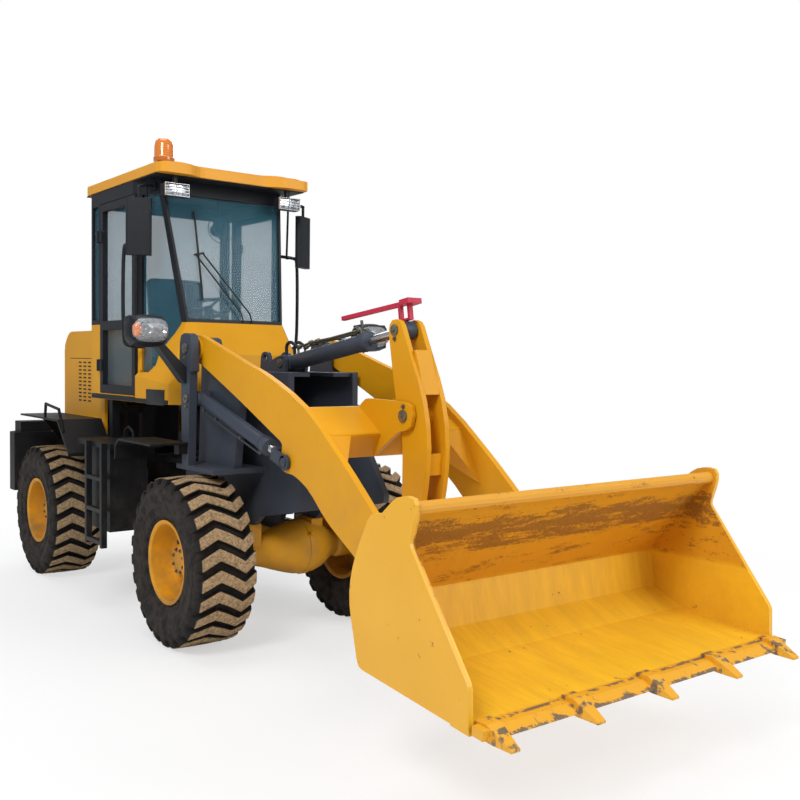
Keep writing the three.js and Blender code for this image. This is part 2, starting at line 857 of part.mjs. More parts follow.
// ---- rear mudguards ----
const guardTop = 1330;
bothSides((side) => {
  const span = (inner, outer) => [side * inner, side * outer];
  const skin = sidePlate(
    [
      [-2900, guardTop - 14],
      [-2900, guardTop],
      [-1945, guardTop],
      [platformRear - 6, 1085],
      [platformRear - 6, 1060],
      [-1960, guardTop - 16],
    ],
    ...span(510, 860),
  );
  const brackets = [-2860, -2010].map((x) =>
    crossPlate(
      [
        [side * (railOuter + seat), 880],
        [side * (railOuter + seat), 960],
        [side * 420, hoodBottom - 12],
        [side * 488, hoodBottom - 12],
        [side * 515, guardTop - 5],
        [side * 720, guardTop - 5],
        [side * 550, 1110],
        [side * 450, 1085],
      ],
      x,
      x + 14,
    ),
  );
  const handrail = barRun(
    [
      [-2290, side * 845, guardTop - 5],
      [-2270, side * 845, guardTop + 110],
      [-1960, side * 845, guardTop + 80],
      [-1850, side * 845, 1240],
    ],
    12,
  );
  place(`rear_mudguard_${sideName(side)}`, join(skin, ...brackets, handrail), frameBlue);
});

// ---- front frame ----
const frontPlateX = pivotX + 362;
const towerInner = 400;
const towerInnerThickness = 55;
const towerOuter = 565;
const towerOuterThickness = 55;
const towerFoot = 1115;
const saddleTop = 1740;
const bracketHalf = 66;
const bracketThickness = 24;
function makeFrontFrame() {
  const cheek = (side) =>
    sidePlate(
      [
        [frontPlateX, 560],
        [-420, 560],
        [-330, frontRailBottom],
        [100, frontRailBottom],
        [180, 800],
        [440, 850],
        [876, 936, 20],
        [880, 990, 20],
        [530, 1470, 60],
        [524, saddleTop],
        [-310, saddleTop],
        [-310, 1500],
        [-400, 1060],
        [frontPlateX, 1060],
      ],
      side * railInner,
      side * railOuter,
    );
  const endPlate = box(frontPlateX, frontPlateX + 40, -railOuter, railOuter, 545, 1060);
  const saddle = join(
    box(-310, 190, -railOuter, railOuter, saddleTop - 25, saddleTop),
    box(185, 500, -railOuter, -90, saddleTop - 25, saddleTop),
    box(185, 500, 90, railOuter, saddleTop - 25, saddleTop),
  );
  const crossBox = box(-310, -60, -towerInner - 5, towerInner + 5, towerFoot, 1330);
  const frontTie = box(560, 680, -railOuter, railOuter, 900, 1000);
  const lugs = [lowerPivotZ + lugThickness + 5, upperPivotZ - lugThickness - 5].map((z) =>
    lug(pivotX, z - lugThickness / 2, z + lugThickness / 2, frontPlateX),
  );
  const pins = [
    [lowerPivotZ - 36, lowerPivotZ + lugThickness],
    [upperPivotZ - lugThickness, upperPivotZ + 36],
  ].map(([z0, z1]) => {
    const from = new THREE.Vector3(pivotX, 0, z0);
    return rod(from, new THREE.Vector3(pivotX, 0, z1), pivotPinRadius, pinSides);
  });
  const towerSide = towerOuter + towerOuterThickness;
  const towers = [right, left].flatMap((s) => [
    // inner plate
    sidePlate(
      [
        [-310, towerFoot],
        [190, towerFoot],
        [254, 1520],
        [254, saddleTop],
        [-60, saddleTop],
        [-80, 1960, 60],
        [-260, 1960, 60],
      ],
      s * towerInner,
      s * (towerInner + towerInnerThickness),
    ),
    // outer post with its cap
    sidePlate(
      [
        [-215, towerFoot],
        [-125, towerFoot],
        [-105, 1730],
        [-78, 1740],
        [-78, 1770],
        [-90, 1985, 60],
        [-250, 1985, 60],
        [-262, 1770],
        [-262, 1740],
        [-235, 1730],
      ],
      s * towerOuter,
      s * (towerOuter + towerOuterThickness),
    ),
    // foot
    box(-300, 230, s * (railOuter - 5), s * towerSide, towerFoot - 20, towerFoot + 12),
    // boom pin and lift cylinder pin
    crossRod(armPivot, s * towerInner, s * (towerOuter + 10), armPinRadius),
    crossRod(liftBase, s * towerInner, s * (towerOuter + 10), 27),
  ]);
  const crossBridge = box(-310, -285, -towerInner - 5, towerInner + 5, 1330, saddleTop - 2);
  const tiltBracket = [right, left].map((s) =>
    sidePlate(
      [
        [-130, saddleTop - 10],
        [190, saddleTop - 10],
        [tiltBase.x + 62, tiltBase.y - 10, 30],
        [tiltBase.x + 58, tiltBase.y + 55, 40],
        [tiltBase.x - 60, tiltBase.y + 40, 30],
        [0, tiltBase.y + 5],
        [-20, tiltBase.y + 75, 40],
        [-115, tiltBase.y + 75, 40],
      ],
      s * bracketHalf,
      s * (bracketHalf + bracketThickness),
    ),
  );
  const tiltPinHalf = bracketHalf + bracketThickness + 8;
  const tiltPin = crossRod(tiltBase, -tiltPinHalf, tiltPinHalf, 27);
  const steerLugs = [right, left].map((s) =>
    steerLug(pivotX + steerEye.x - 42, frontPlateX + 5, s * steerEye.y),
  );
  return join(
    cheek(right),
    cheek(left),
    endPlate,
    saddle,
    crossBox,
    crossBridge,
    frontTie,
    ...lugs,
    ...pins,
    ...towers,
    ...tiltBracket,
    tiltPin,
    ...steerLugs,
  );
}
const liftingEyes = crossRod(new THREE.Vector2(-65, tiltBase.y + 32), -100, 100, 24, 16);
place("front_frame", cut(makeFrontFrame(), liftingEyes), frameBlue);

// ---- front mudguards ----
bothSides((side) => {
  const inner = towerOuter + towerOuterThickness + seat;
  const skin = sidePlate(
    [
      [-120, 1262],
      [-120, 1276],
      [-650, 1276],
      [-655, 1262],
    ],
    side * (inner + 2),
    side * 880,
  );
  const flap = sidePlate(
    [
      [-600, 1262],
      [-600, 1276],
      [-655, 1276],
      [-716, 1228],
      [-722, 1130],
      [-708, 1130],
      [-703, 1220],
      [-650, 1262],
    ],
    side * 682,
    side * 880,
  );
  const arm = box(-205, -135, side * inner, side * (inner + 60), 1200, 1270);
  place(`front_mudguard_${sideName(side)}`, join(skin, flap, arm), frameBlue);
});

// ---- head lamps ----
bothSides((side) => {
  const centre = [-200, side * 885, 1995];
  const head = hull(
    [-1, 1].flatMap((a) => [
      [centre[0] + 75, centre[1] + a * 92, centre[2] - 78],
      [centre[0] + 75, centre[1] + a * 98, centre[2] + 62],
      [centre[0] + 40, centre[1] + a * 120, centre[2] - 40],
      [centre[0] + 30, centre[1] + a * 112, centre[2] + 92],
      [centre[0] - 60, centre[1] + a * 112, centre[2] + 85],
      [centre[0] - 80, centre[1] + a * 98, centre[2] - 60],
      [centre[0] - 10, centre[1] + a * 92, centre[2] - 100],
    ]),
  );
  const face = side * (towerOuter + towerOuterThickness + seat);
  const arm = hull([
    ...[1660, 1760].flatMap((z) => [
      [-240, face, z],
      [-240, face + side * 12, z],
      [-150, face, z],
      [-150, face + side * 12, z],
    ]),
    [-245, side * 840, 1930],
    [-155, side * 840, 1930],
    [-245, side * 790, 1930],
    [-155, side * 790, 1930],
  ]);
  place(`head_lamp_${sideName(side)}`, join(head, arm), lampWhite);
});

// ---- boom ----
const beamLow = [1215, 1275];
const beamHigh = [1290, 1412];
function makeBoom() {
  const armOutline = [
    [-265, 1885, 60],
    [-225, 1972, 60],
    [-140, 1975, 30],
    [420, 1812],
    [723, 1730, 120],
    [1140, 1568, 180],
    [1570, 1241, 120],
    [bucketPin.x + 58, bucketPin.y + 62, 60],
    [bucketPin.x + 66, bucketPin.y - 60, 70],
    [bucketPin.x - 60, bucketPin.y - 78, 60],
    [1619, 818, 160],
    [1363, 963, 60],
    [1171, 1124, 80],
    [liftEye.x + 60, liftEye.y - 62, 40],
    [liftEye.x - 55, liftEye.y - 62, 50],
    [liftEye.x - 72, liftEye.y + 20, 20],
    [liftEye.x - 48, liftEye.y + 103, 30],
    [404, 1566, 80],
    [-150, 1795, 50],
    [-255, 1800, 60],
  ];
  const arms = [right, left].map((s) => sidePlate(armOutline, s * armInner, s * armOuter));
  const bosses = [right, left].flatMap((s) => [
    crossRod(armPivot, s * (armInner - 6), s * (armOuter + 14), 72, 16),
  ]);
  const beamOutline = [beamLow, [985, 1425], [1060, 1562, 15], [...beamHigh, 15]];
  const beam = sidePlate(beamOutline, -armInner - 5, armInner + 5);
  const brackets = [right, left].map((s) =>
    sidePlate(
      [
        [1215, 1277],
        [1050, 1500],
        [1078, 1560],
        [1135, 1606, 30],
        [crankPivot.x - 40, crankPivot.y + 80, 30],
        [crankPivot.x + 82, crankPivot.y + 70, 60],
        [crankPivot.x + 78, crankPivot.y - 70, 70],
        [crankPivot.x - 40, crankPivot.y - 88, 40],
      ],
      s * (crankInner + crankThickness + sideGap),
      s * (crankInner + crankThickness + sideGap + 26),
    ),
  );
  const braces = [right, left].map((s) =>
    hull([
      [...beamHigh.slice(0, 1), s * (armInner + 2), beamHigh[1]],
      [beamLow[0], s * (armInner + 2), beamLow[1]],
      [1470, s * (armInner + 2), 1100],
      [beamHigh[0], s * 320, beamHigh[1] - 4],
      [beamLow[0], s * 320, beamLow[1] + 4],
    ]),
  );
  const crankPinReach = crankInner + crankThickness + sideGap + 20;
  const crankPin = crossRod(crankPivot, -crankPinReach, crankPinReach, crankPinRadius);
  const bucketPins = [right, left].map((s) =>
    crossRod(bucketPin, s * (armInner - 38), s * (armOuter + 38), bucketPinRadius),
  );
  const body = cut(join(...arms, ...bosses, beam, ...brackets, ...braces), eyeHole(armPivot, armPinRadius));
  return join(body, crankPin, ...bucketPins);
}
place("boom", makeBoom(), yellow);

// ---- bell crank ----
function makeBellCrank() {
  const plateOutline = [
    [tiltEye.x - 62, tiltEye.y + 5, 40],
    [tiltEye.x - 35, tiltEye.y + 62, 40],
    [tiltEye.x + 45, tiltEye.y + 58, 40],
    [tiltEye.x + 110, tiltEye.y - 80, 60],
    [1625, 1610, 120],
    [1668, 1350, 120],
    [1630, 1060, 80],
    [crankFoot.x + 70, crankFoot.y - 70, 60],
    [crankFoot.x - 60, crankFoot.y - 70, 60],
    [1447, 1079, 60],
    [1448, 1385, 100],
    [1378, 1603, 100],
  ];
  const plates = [right, left].map((s) =>
    sidePlate(plateOutline, s * crankInner, s * (crankInner + crankThickness)),
  );
  const hub = crossRod(crankPivot, -crankInner - 5, crankInner + 5, 62);
  const pins = [tiltEye, crankFoot].flatMap((at) =>
    [right, left].map((s) => crossRod(at, s * (crankInner - 9), s * (crankInner + crankThickness + 8), 30)),
  );
  const webs = join(
    sidePlate([[1500, 1880], [1516, 1884], [1600, 1640], [1584, 1636]], -crankInner - 5, crankInner + 5),
    sidePlate([[1620, 1320], [1636, 1320], [1626, 1200], [1610, 1200]], -crankInner - 5, crankInner + 5),
  );
  const through = eyeHole(crankPivot, crankPinRadius);
  return cut(join(...plates, hub, webs, ...pins), through);
}
place("bell_crank", makeBellCrank(), yellow);

// ---- bucket link ----
function makeBucketLink() {
  const along = linkPin.clone().sub(crankFoot);
  const across = new THREE.Vector2(-along.y, along.x).setLength(46);
  const edge = (at, sign) => [at.x + sign * across.x, at.y + sign * across.y];
  const bar = sidePlate(
    [edge(crankFoot, 1), edge(crankFoot, -1), edge(linkPin, -1), edge(linkPin, 1)],
    -linkHalf + 6,
    linkHalf - 6,
  );
  const eyes = [crankFoot, linkPin].map((at) => crossRod(at, -linkHalf, linkHalf, 58, 16));
  return cut(join(bar, ...eyes), eyeHole(linkPin, linkPinRadius));
}
place("bucket_link", makeBucketLink(), yellow);

// ---- bucket, drawn level and then pitched about its lower rear corner ----
const bucket = new THREE.Group();
bucket.position.set(bucketCorner.x, 0, bucketCorner.y);
bucket.rotation.y = bucketPitch;
machine.add(bucket);
const inBucket = (at) => at.clone().sub(bucketCorner).rotateAround(new THREE.Vector2(), bucketPitch);
const hinge = inBucket(bucketPin);
const linkHinge = inBucket(linkPin);
const floorInner = 30;
const backKnee = new THREE.Vector2(-38, 284);
const backTop = new THREE.Vector2(297, 757);
function bucketSkin(offset) {
  const along = backTop.clone().sub(backKnee);
  const normal = along.rotateAround(new THREE.Vector2(), Math.PI / 2).setLength(offset);
  const top = backTop.clone().add(normal);
  const knee = backKnee.clone().add(normal);
  return { top, knee, floor: floorInner - offset };
}
function makeBucketShell() {
  const inner = bucketSkin(0);
  const outer = bucketSkin(bucketShell);
  const skin = new THREE.Shape();
  skin.moveTo(bucketFloorFront, outer.floor);
  skin.lineTo(bucketFloorFront, inner.floor);
  skin.lineTo(200, inner.floor);
  skin.quadraticCurveTo(-45, 40, inner.knee.x, inner.knee.y);
  skin.lineTo(inner.top.x, inner.top.y);
  skin.lineTo(outer.top.x, outer.top.y);
  skin.lineTo(outer.knee.x, outer.knee.y);
  skin.quadraticCurveTo(-45 - bucketShell, 40 - bucketShell, 200, outer.floor);
  skin.closePath();
  // The ears behind the skin end inside it, so none of them shows in the bucket.
  const earEnd = bucketShell / 3;
  const hollow = new THREE.Shape();
  hollow.moveTo(1200, inner.floor - earEnd);
  hollow.lineTo(1200, 1200);
  hollow.lineTo(inner.top.x + 300, 1200);
  hollow.lineTo(inner.top.x - earEnd, inner.top.y);
  hollow.lineTo(inner.knee.x - earEnd, inner.knee.y);
  hollow.quadraticCurveTo(-45 - earEnd, 40 - earEnd, 200, inner.floor - earEnd);
  hollow.closePath();
  const sideOutline = [
    [0, 0, 30],
    [-93, 253, 60],
    [-96, 359, 50],
    [-70, 472, 50],
    [18, 678, 40],
    [107, 696, 20],
    [205, 790, 40],
    [318, 808, 45],
    [332, 745, 40],
    [301, 615, 20],
    [700, 175, 20],
    [714, 50],
    [726, -5],
  ];
  const stripOutline = [
    [620, -4],
    [566, 104],
    [107, 694],
    [205, 790, 40],
    [318, 808, 45],
    [332, 745, 40],
    [301, 615, 20],
    [700, 175, 20],
    [714, 50],
    [726, -5],
  ];
  const outerSide = bucketHalf - bucketStrip;
  const sides = [right, left].flatMap((s) => [
    sidePlate(sideOutline.slice().reverse(), s * (outerSide - bucketSide), s * outerSide),
    sidePlate(stripOutline, s * (outerSide - 2), s * bucketHalf),
  ]);
  const railCentre = new THREE.Vector2(backTop.x - 14, backTop.y - 6);
  const rail = crossRod(railCentre, 8 - outerSide, outerSide - 8, 30, 12);
  const hingeEar = [
    [60, 14, 10],
    [hinge.x + 10, hinge.y - 78, 60],
    [hinge.x - 74, hinge.y - 40, 60],
    [hinge.x - 66, hinge.y + 60, 60],
    [hinge.x + 20, hinge.y + 120, 40],
    [-20, 440],
    [60, 440],
  ];
  const linkEar = [
    [-20, 170],
    [linkHinge.x - 30, linkHinge.y - 70, 50],
    [linkHinge.x - 70, linkHinge.y + 10, 50],
    [linkHinge.x - 20, linkHinge.y + 80, 50],
    [90, 520],
    [120, 500],
  ];
  const ears = [right, left].flatMap((s) => [
    sidePlate(hingeEar, s * (armInner - sideGap - 26), s * (armInner - sideGap)),
    sidePlate(hingeEar, s * (armOuter + sideGap), s * (armOuter + sideGap + 26)),
    sidePlate(linkEar, s * (linkHalf + sideGap), s * (linkHalf + sideGap + 26)),
  ]);
  const skinPlate = sidePlate(skin, 4 - outerSide, outerSide - 4);
  const backEars = cut(join(...ears), sidePlate(hollow, -bucketHalf, bucketHalf));
  const pinReach = linkHalf + sideGap + 34;
  const linkPinBar = crossRod(linkHinge, -pinReach, pinReach, linkPinRadius);
  const hingeHole = eyeHole(hinge, bucketPinRadius);
  return join(cut(join(skinPlate, ...sides, rail, backEars), hingeHole), linkPinBar);
}
place("bucket_shell", makeBucketShell(), yellow, bucket);

const edgeFront = 815;
const bladeInset = 31; // from the bucket's side to the blade's end
const cornerLength = 111;
function makeCuttingEdge() {
  const blade = sidePlate(
    [
      [bucketFloorFront + seat, 2],
      [edgeFront - 10, 2],
      [edgeFront, 8],
      [edgeFront - 60, floorInner],
      [bucketFloorFront + seat, floorInner],
    ],
    bladeInset - bucketHalf,
    bucketHalf - bladeInset,
  );
  const corners = [right, left].map((s) =>
    box(730, edgeFront - 22, s * (bucketHalf - cornerLength), s * (bucketHalf - 6), 2, 40),
  );
  const teeth = Array.from({ length: toothCount }, (_, i) => {
    const y = (i - (toothCount - 1) / 2) * toothSpacing;
    return hull(
      [-1, 1].flatMap((a) => [
        [706, y + a * 36, -12],
        [706, y + a * 36, 44],
        [770, y + a * 36, 50],
        [800, y + a * 36, -14],
        [toothTip, y + a * 22, -13],
        [toothTip, y + a * 22, -3],
      ]),
    );
  });
  return join(blade, ...corners, ...teeth);
}
place("cutting_edge", makeCuttingEdge(), yellow, bucket);

// ---- cylinders ----
// A cylinder is drawn along X from its base eye, in a group that points it at its rod eye.
function cylinderGroup(base, eye) {
  const group = new THREE.Group();
  group.position.copy(base);
  const axis = eye.clone().sub(base).normalize();
  group.quaternion.setFromUnitVectors(new THREE.Vector3(1, 0, 0), axis);
  machine.add(group);
  return group;
}
const alongX = (x0, x1, radius, sides = 12) =>
  rod(new THREE.Vector3(x0, 0, 0), new THREE.Vector3(x1, 0, 0), radius, sides);
// Eyes turn about the Y axis of the group, or about Z for the steering cylinders.
function eyeBar(x, half, radius, vertical, turn = 0) {
  const from = vertical ? new THREE.Vector3(x, 0, -half) : new THREE.Vector3(x, -half, 0);
  const to = vertical ? new THREE.Vector3(x, 0, half) : new THREE.Vector3(x, half, 0);
  return rod(from, to, radius, pinSides, radius, turn);
}
function makeBarrel({ radius, rodRadius, length, rodInside, stroke, pinRadius, eyeHalf, vertical }) {
  const tube = alongX(radius * 0.7, length, radius);
  const gland = alongX(length - 60, length, radius + 8);
  const bore = alongX(length - rodInside - stroke - 30, length + 10, rodRadius + 0.5);
  const eye = eyeBar(0, eyeHalf, pinRadius + 24, vertical);
  const pinHole = eyeBar(0, eyeHalf * 3, eyeRadius(pinRadius), vertical, Math.PI / pinSides);
  return cut(join(tube, gland, eye), bore, pinHole);
}
// The fork of a lift cylinder's rod, with one cheek on each side of the arm.
function makeForkedRod({ rodRadius, length, rodInside, reach }) {
  const bar = alongX(length - rodInside, reach - 140, rodRadius);
  const yoke = box(reach - 152, reach - 122, -45, 45, -38, 38);
  const cheek = (side) =>
    join(
      box(reach - 130, reach, side * 25, side * 45, -38, 38),
      rod(new THREE.Vector3(reach, side * 25, 0), new THREE.Vector3(reach, side * 45, 0), 46, 16),
      rod(new THREE.Vector3(reach, side * 40, 0), new THREE.Vector3(reach, side * 53, 0), 28, 12),
    );
  return join(bar, yoke, cheek(right), cheek(left));
}
function makeRod({ rodRadius, length, rodInside, reach, eyeHalf, eyeSize, vertical }) {
  const bar = alongX(length - rodInside, reach, rodRadius);
  return join(bar, eyeBar(reach, eyeHalf, eyeSize, vertical));
}

bothSides((side) => {
  const base = new THREE.Vector3(liftBase.x, side * liftPlane, liftBase.y);
  const eye = new THREE.Vector3(liftEye.x, side * liftPlane, liftEye.y);
  const group = cylinderGroup(base, eye);
  const sizes = {
    radius: liftBarrelRadius,
    rodRadius: liftRodRadius,
    length: liftBarrelLength,
    rodInside: liftRodInside,
    stroke: 90,
    pinRadius: 27,
    eyeHalf: 48,
    reach: base.distanceTo(eye),
  };
  place(`lift_barrel_${sideName(side)}`, makeBarrel(sizes), frameBlue, group);
  place(`lift_rod_${sideName(side)}`, makeForkedRod(sizes), steel, group);
});

const tiltGroup = cylinderGroup(
  new THREE.Vector3(tiltBase.x, 0, tiltBase.y),
  new THREE.Vector3(tiltEye.x, 0, tiltEye.y),
);
const tiltSizes = {
  radius: tiltBarrelRadius,
  rodRadius: tiltRodRadius,
  length: tiltBarrelLength,
  rodInside: tiltRodInside,
  stroke: 250,
  pinRadius: 27,
  eyeHalf: 58,
  reach: tiltBase.distanceTo(tiltEye),
  eyeSize: 52,
};
const indicatorHeight = 138;
const indicatorRise = 30; // the pointer's free end stands higher than its head
const indicatorPost = rod(
  new THREE.Vector3(tiltBarrelLength - 70, 0, 40),
  new THREE.Vector3(tiltBarrelLength - 70, 0, indicatorHeight + 2),
  9,
  10,
);
place("tilt_barrel", join(makeBarrel(tiltSizes), indicatorPost), frameBlue, tiltGroup);
place("tilt_rod", makeRod({ ...tiltSizes, eyeHalf: linkHalf }), steel, tiltGroup);
const { reach: tiltReach, eyeSize: tiltEyeSize } = tiltSizes;
const pointer = hull(
  [-14, 14].flatMap((y) =>
    [0, 26].flatMap((up) => [
      [tiltReach - 610, y, indicatorHeight + indicatorRise + up],
      [tiltReach + 40, y, indicatorHeight + up],
    ]),
  ),
);
const indicator = join(
  pointer,
  box(tiltReach + 15, tiltReach + 95, -50, 50, indicatorHeight, indicatorHeight + 30),
  box(tiltReach - 45, tiltReach - 28, -14, 14, tiltEyeSize + seat, indicatorHeight + 5),
  box(tiltReach + 38, tiltReach + 56, -14, 14, tiltEyeSize + seat, indicatorHeight + 5),
  box(tiltReach - 45, tiltReach + 56, -14, 14, tiltEyeSize + seat, tiltEyeSize + 14),
);
place("level_indicator", indicator, red, tiltGroup);

bothSides((side) => {
  const base = new THREE.Vector3(pivotX + steerBase.x, side * steerBase.y, steerZ);
  const eye = new THREE.Vector3(pivotX + steerEye.x, side * steerEye.y, steerZ);
  const group = cylinderGroup(base, eye);
  const sizes = {
    radius: steerBarrelRadius,
    rodRadius: steerRodRadius,
    length: steerBarrelLength,
    rodInside: steerRodInside,
    stroke: 165,
    pinRadius: steerPinRadius,
    eyeHalf: steerEyeHalf,
    reach: base.distanceTo(eye),
    eyeSize: 34,
    vertical: true,
  };
  place(`steer_barrel_${sideName(side)}`, makeBarrel(sizes), frameBlue, group);
  place(`steer_rod_${sideName(side)}`, makeRod(sizes), steel, group);
});

// ---- the whole machine, centred between its rear end and its tooth tips ----
const frontEnd = bucketCorner.x + toothTip * Math.cos(bucketPitch);
machine.position.x = -(frontEnd + rearEnd) / 2;

export default model;
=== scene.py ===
import bpy
import json
import math
from mathutils import Matrix, Vector


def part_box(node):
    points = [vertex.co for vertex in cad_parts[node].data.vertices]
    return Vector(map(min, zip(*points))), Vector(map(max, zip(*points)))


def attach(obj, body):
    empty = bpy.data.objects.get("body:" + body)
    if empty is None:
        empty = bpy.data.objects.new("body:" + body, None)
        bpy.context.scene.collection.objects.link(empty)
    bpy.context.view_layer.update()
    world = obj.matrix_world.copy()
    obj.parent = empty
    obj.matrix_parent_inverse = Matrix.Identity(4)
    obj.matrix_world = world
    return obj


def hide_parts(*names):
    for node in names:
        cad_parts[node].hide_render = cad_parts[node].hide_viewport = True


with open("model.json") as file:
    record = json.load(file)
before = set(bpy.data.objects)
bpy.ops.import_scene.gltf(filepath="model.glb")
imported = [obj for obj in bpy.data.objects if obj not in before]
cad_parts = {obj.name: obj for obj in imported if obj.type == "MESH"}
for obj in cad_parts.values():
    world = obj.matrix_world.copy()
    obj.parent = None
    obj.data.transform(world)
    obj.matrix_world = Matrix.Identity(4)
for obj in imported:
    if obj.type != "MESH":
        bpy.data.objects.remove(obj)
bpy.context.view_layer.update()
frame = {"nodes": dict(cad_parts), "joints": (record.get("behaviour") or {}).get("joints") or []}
nodes = frame["nodes"]
joints = {j["name"]: j for j in frame["joints"]}
SIDES = {"right": -1, "left": 1}

# ---- camera ----
# Eye height of a person standing off the machine's front right corner, with a moderate lens. Its
# distance ahead is taken from the front wheels.
front_x = joints["front_right_wheel_spin"]["pos_m"][0]
camera = bpy.data.objects.new("camera", bpy.data.cameras.new("camera"))
bpy.context.scene.collection.objects.link(camera)
LENS_RATIO = 1.20648625  # focal length over the sensor's width
EYE_AHEAD, EYE_ASIDE, EYE_HEIGHT = 5.64861, -3.36670, 1.82246
yaw, pitch, roll = 2.4813843, -0.0405742, 0.0124386
ahead = Vector((math.cos(yaw) * math.cos(pitch), math.sin(yaw) * math.cos(pitch), math.sin(pitch)))
across = ahead.cross(Vector((0, 0, 1))).normalized()
upward = across.cross(ahead)
lens_x = across * math.cos(roll) + upward * math.sin(roll)
lens_y = upward * math.cos(roll) - across * math.sin(roll)
turn = Matrix((lens_x, lens_y, -ahead)).transposed().to_4x4()
camera.matrix_world = Matrix.Translation((front_x + EYE_AHEAD, EYE_ASIDE, EYE_HEIGHT)) @ turn
camera.data.sensor_width = 36
camera.data.lens = LENS_RATIO * camera.data.sensor_width
bpy.context.scene.camera = camera

# ---- studio ----
# A pale floor that fades to plain white away from the machine, under a white sky. Four large
# lamps: one high on the right, two on the left, and one above.
scene = bpy.context.scene
scene.view_settings.view_transform = "Standard"


def deselect():
    if bpy.context.object and bpy.context.object.mode != "OBJECT":
        bpy.ops.object.mode_set(mode="OBJECT")
    bpy.ops.object.select_all(action="DESELECT")


deselect()
bpy.ops.mesh.primitive_plane_add(size=60)
floor = bpy.context.object
floor.name = "studio_floor"
floor_finish = bpy.data.materials.new("studio_floor")
floor_finish.use_nodes = True
tree = floor_finish.node_tree
for node in list(tree.nodes):
    tree.nodes.remove(node)
paper = tree.nodes.new("ShaderNodeBsdfDiffuse")
paper.inputs[0].default_value = (0.86, 0.86, 0.86, 1)
plain_white = tree.nodes.new("ShaderNodeEmission")
plain_white.inputs[1].default_value = 1.0
rays = tree.nodes.new("ShaderNodeLightPath")
blend = tree.nodes.new("ShaderNodeMixShader")
surface = tree.nodes.new("ShaderNodeOutputMaterial")
where = tree.nodes.new("ShaderNodeTexCoord")
reach = tree.nodes.new("ShaderNodeVectorMath")
reach.operation = "LENGTH"
fade = tree.nodes.new("ShaderNodeMapRange")
fade.inputs[1].default_value = 1.5
fade.inputs[2].default_value = 5.5
fade.inputs[3].default_value = 0.55
fade.inputs[4].default_value = 1.0
eye_only = tree.nodes.new("ShaderNodeMath")
eye_only.operation = "MULTIPLY"
tree.links.new(where.outputs["Object"], reach.inputs[0])
tree.links.new(reach.outputs["Value"], fade.inputs[0])
tree.links.new(fade.outputs[0], eye_only.inputs[0])
tree.links.new(rays.outputs["Is Camera Ray"], eye_only.inputs[1])
tree.links.new(eye_only.outputs[0], blend.inputs[0])
tree.links.new(paper.outputs[0], blend.inputs[1])
tree.links.new(plain_white.outputs[0], blend.inputs[2])
tree.links.new(blend.outputs[0], surface.inputs[0])
floor.data.materials.append(floor_finish)

world = bpy.data.worlds.new("studio")
scene.world = world
world.use_nodes = True
sky = world.node_tree
for node in list(sky.nodes):
    sky.nodes.remove(node)
dim = sky.nodes.new("ShaderNodeBackground")
dim.inputs[0].default_value = (0.92, 0.96, 1.0, 1)
dim.inputs[1].default_value = 0.42
white = sky.nodes.new("ShaderNodeBackground")
white.inputs[0].default_value = (1, 1, 1, 1)
white.inputs[1].default_value = 1.0
sky_rays = sky.nodes.new("ShaderNodeLightPath")
seen = sky.nodes.new("ShaderNodeMath")
seen.operation = "MAXIMUM"
sky_mix = sky.nodes.new("ShaderNodeMixShader")
sky_out = sky.nodes.new("ShaderNodeOutputWorld")
sky.links.new(sky_rays.outputs["Is Camera Ray"], seen.inputs[0])
sky.links.new(sky_rays.outputs["Is Transmission Ray"], seen.inputs[1])
sky.links.new(seen.outputs[0], sky_mix.inputs[0])
sky.links.new(dim.outputs[0], sky_mix.inputs[1])
sky.links.new(white.outputs[0], sky_mix.inputs[2])
sky.links.new(sky_mix.outputs[0], sky_out.inputs[0])


def area_lamp(name, spot, target, size, power):
    data = bpy.data.lights.new(name, "AREA")
    data.size = size
    data.energy = power
    lamp = bpy.data.objects.new(name, data)
    scene.collection.objects.link(lamp)
    lamp.location = spot
    lamp.rotation_euler = (Vector(target) - Vector(spot)).to_track_quat("-Z", "Y").to_euler()


area_lamp("key_lamp", (5.0, -7.0, 8.5), (0, 0, 1.2), 3.5, 660)
area_lamp("fill_lamp", (8.5, 4.0, 5.5), (0.5, 0, 1.2), 4.5, 370)
area_lamp("rear_lamp", (-7.5, 4.0, 7.0), (-0.5, 0, 1.5), 4.5, 330)
area_lamp("top_lamp", (-1.0, -1.0, 10.0), (0, 0, 1.0), 5.0, 270)

# ---- painted steelwork ----
# Welded plate in machine enamel, sprayed in one coat. The paint is slightly uneven, with dust that
# settles low down and fine scuffs. Its edges are rounded in the shading only.


class Wire:
    """A shader socket that can be used in sums."""

    def __init__(self, finish, socket):
        self.finish, self.socket = finish, socket

    def _math(self, operation, a, b=None):
        values = {0: a} if b is None else {0: a, 1: b}
        return self.finish.add("ShaderNodeMath", {"operation": operation}, values)[0]

    def __add__(self, other):
        return self._math("ADD", self, other)

    def __radd__(self, other):
        return self._math("ADD", other, self)

    def __sub__(self, other):
        return self._math("SUBTRACT", self, other)

    def __rsub__(self, other):
        return self._math("SUBTRACT", other, self)

    def __mul__(self, other):
        return self._math("MULTIPLY", self, other)

    def __rmul__(self, other):
        return self._math("MULTIPLY", other, self)

    def __truediv__(self, other):
        return self._math("DIVIDE", self, other)

    def above(self, edge, soft):
        """0 below the edge and 1 above it, over a soft band."""
        values = {0: self, 1: edge - soft, 2: edge + soft, 3: 0.0, 4: 1.0}
        return self.finish.add("ShaderNodeMapRange", {"clamp": True}, values)[0]

    def below(self, edge, soft):
        return 1 - self.above(edge, soft)

    def most(self, other):
        return self._math("MAXIMUM", self, other)

    def size(self):
        return self._math("ABSOLUTE", self)

    def waves(self):
        return self._math("SINE", self)


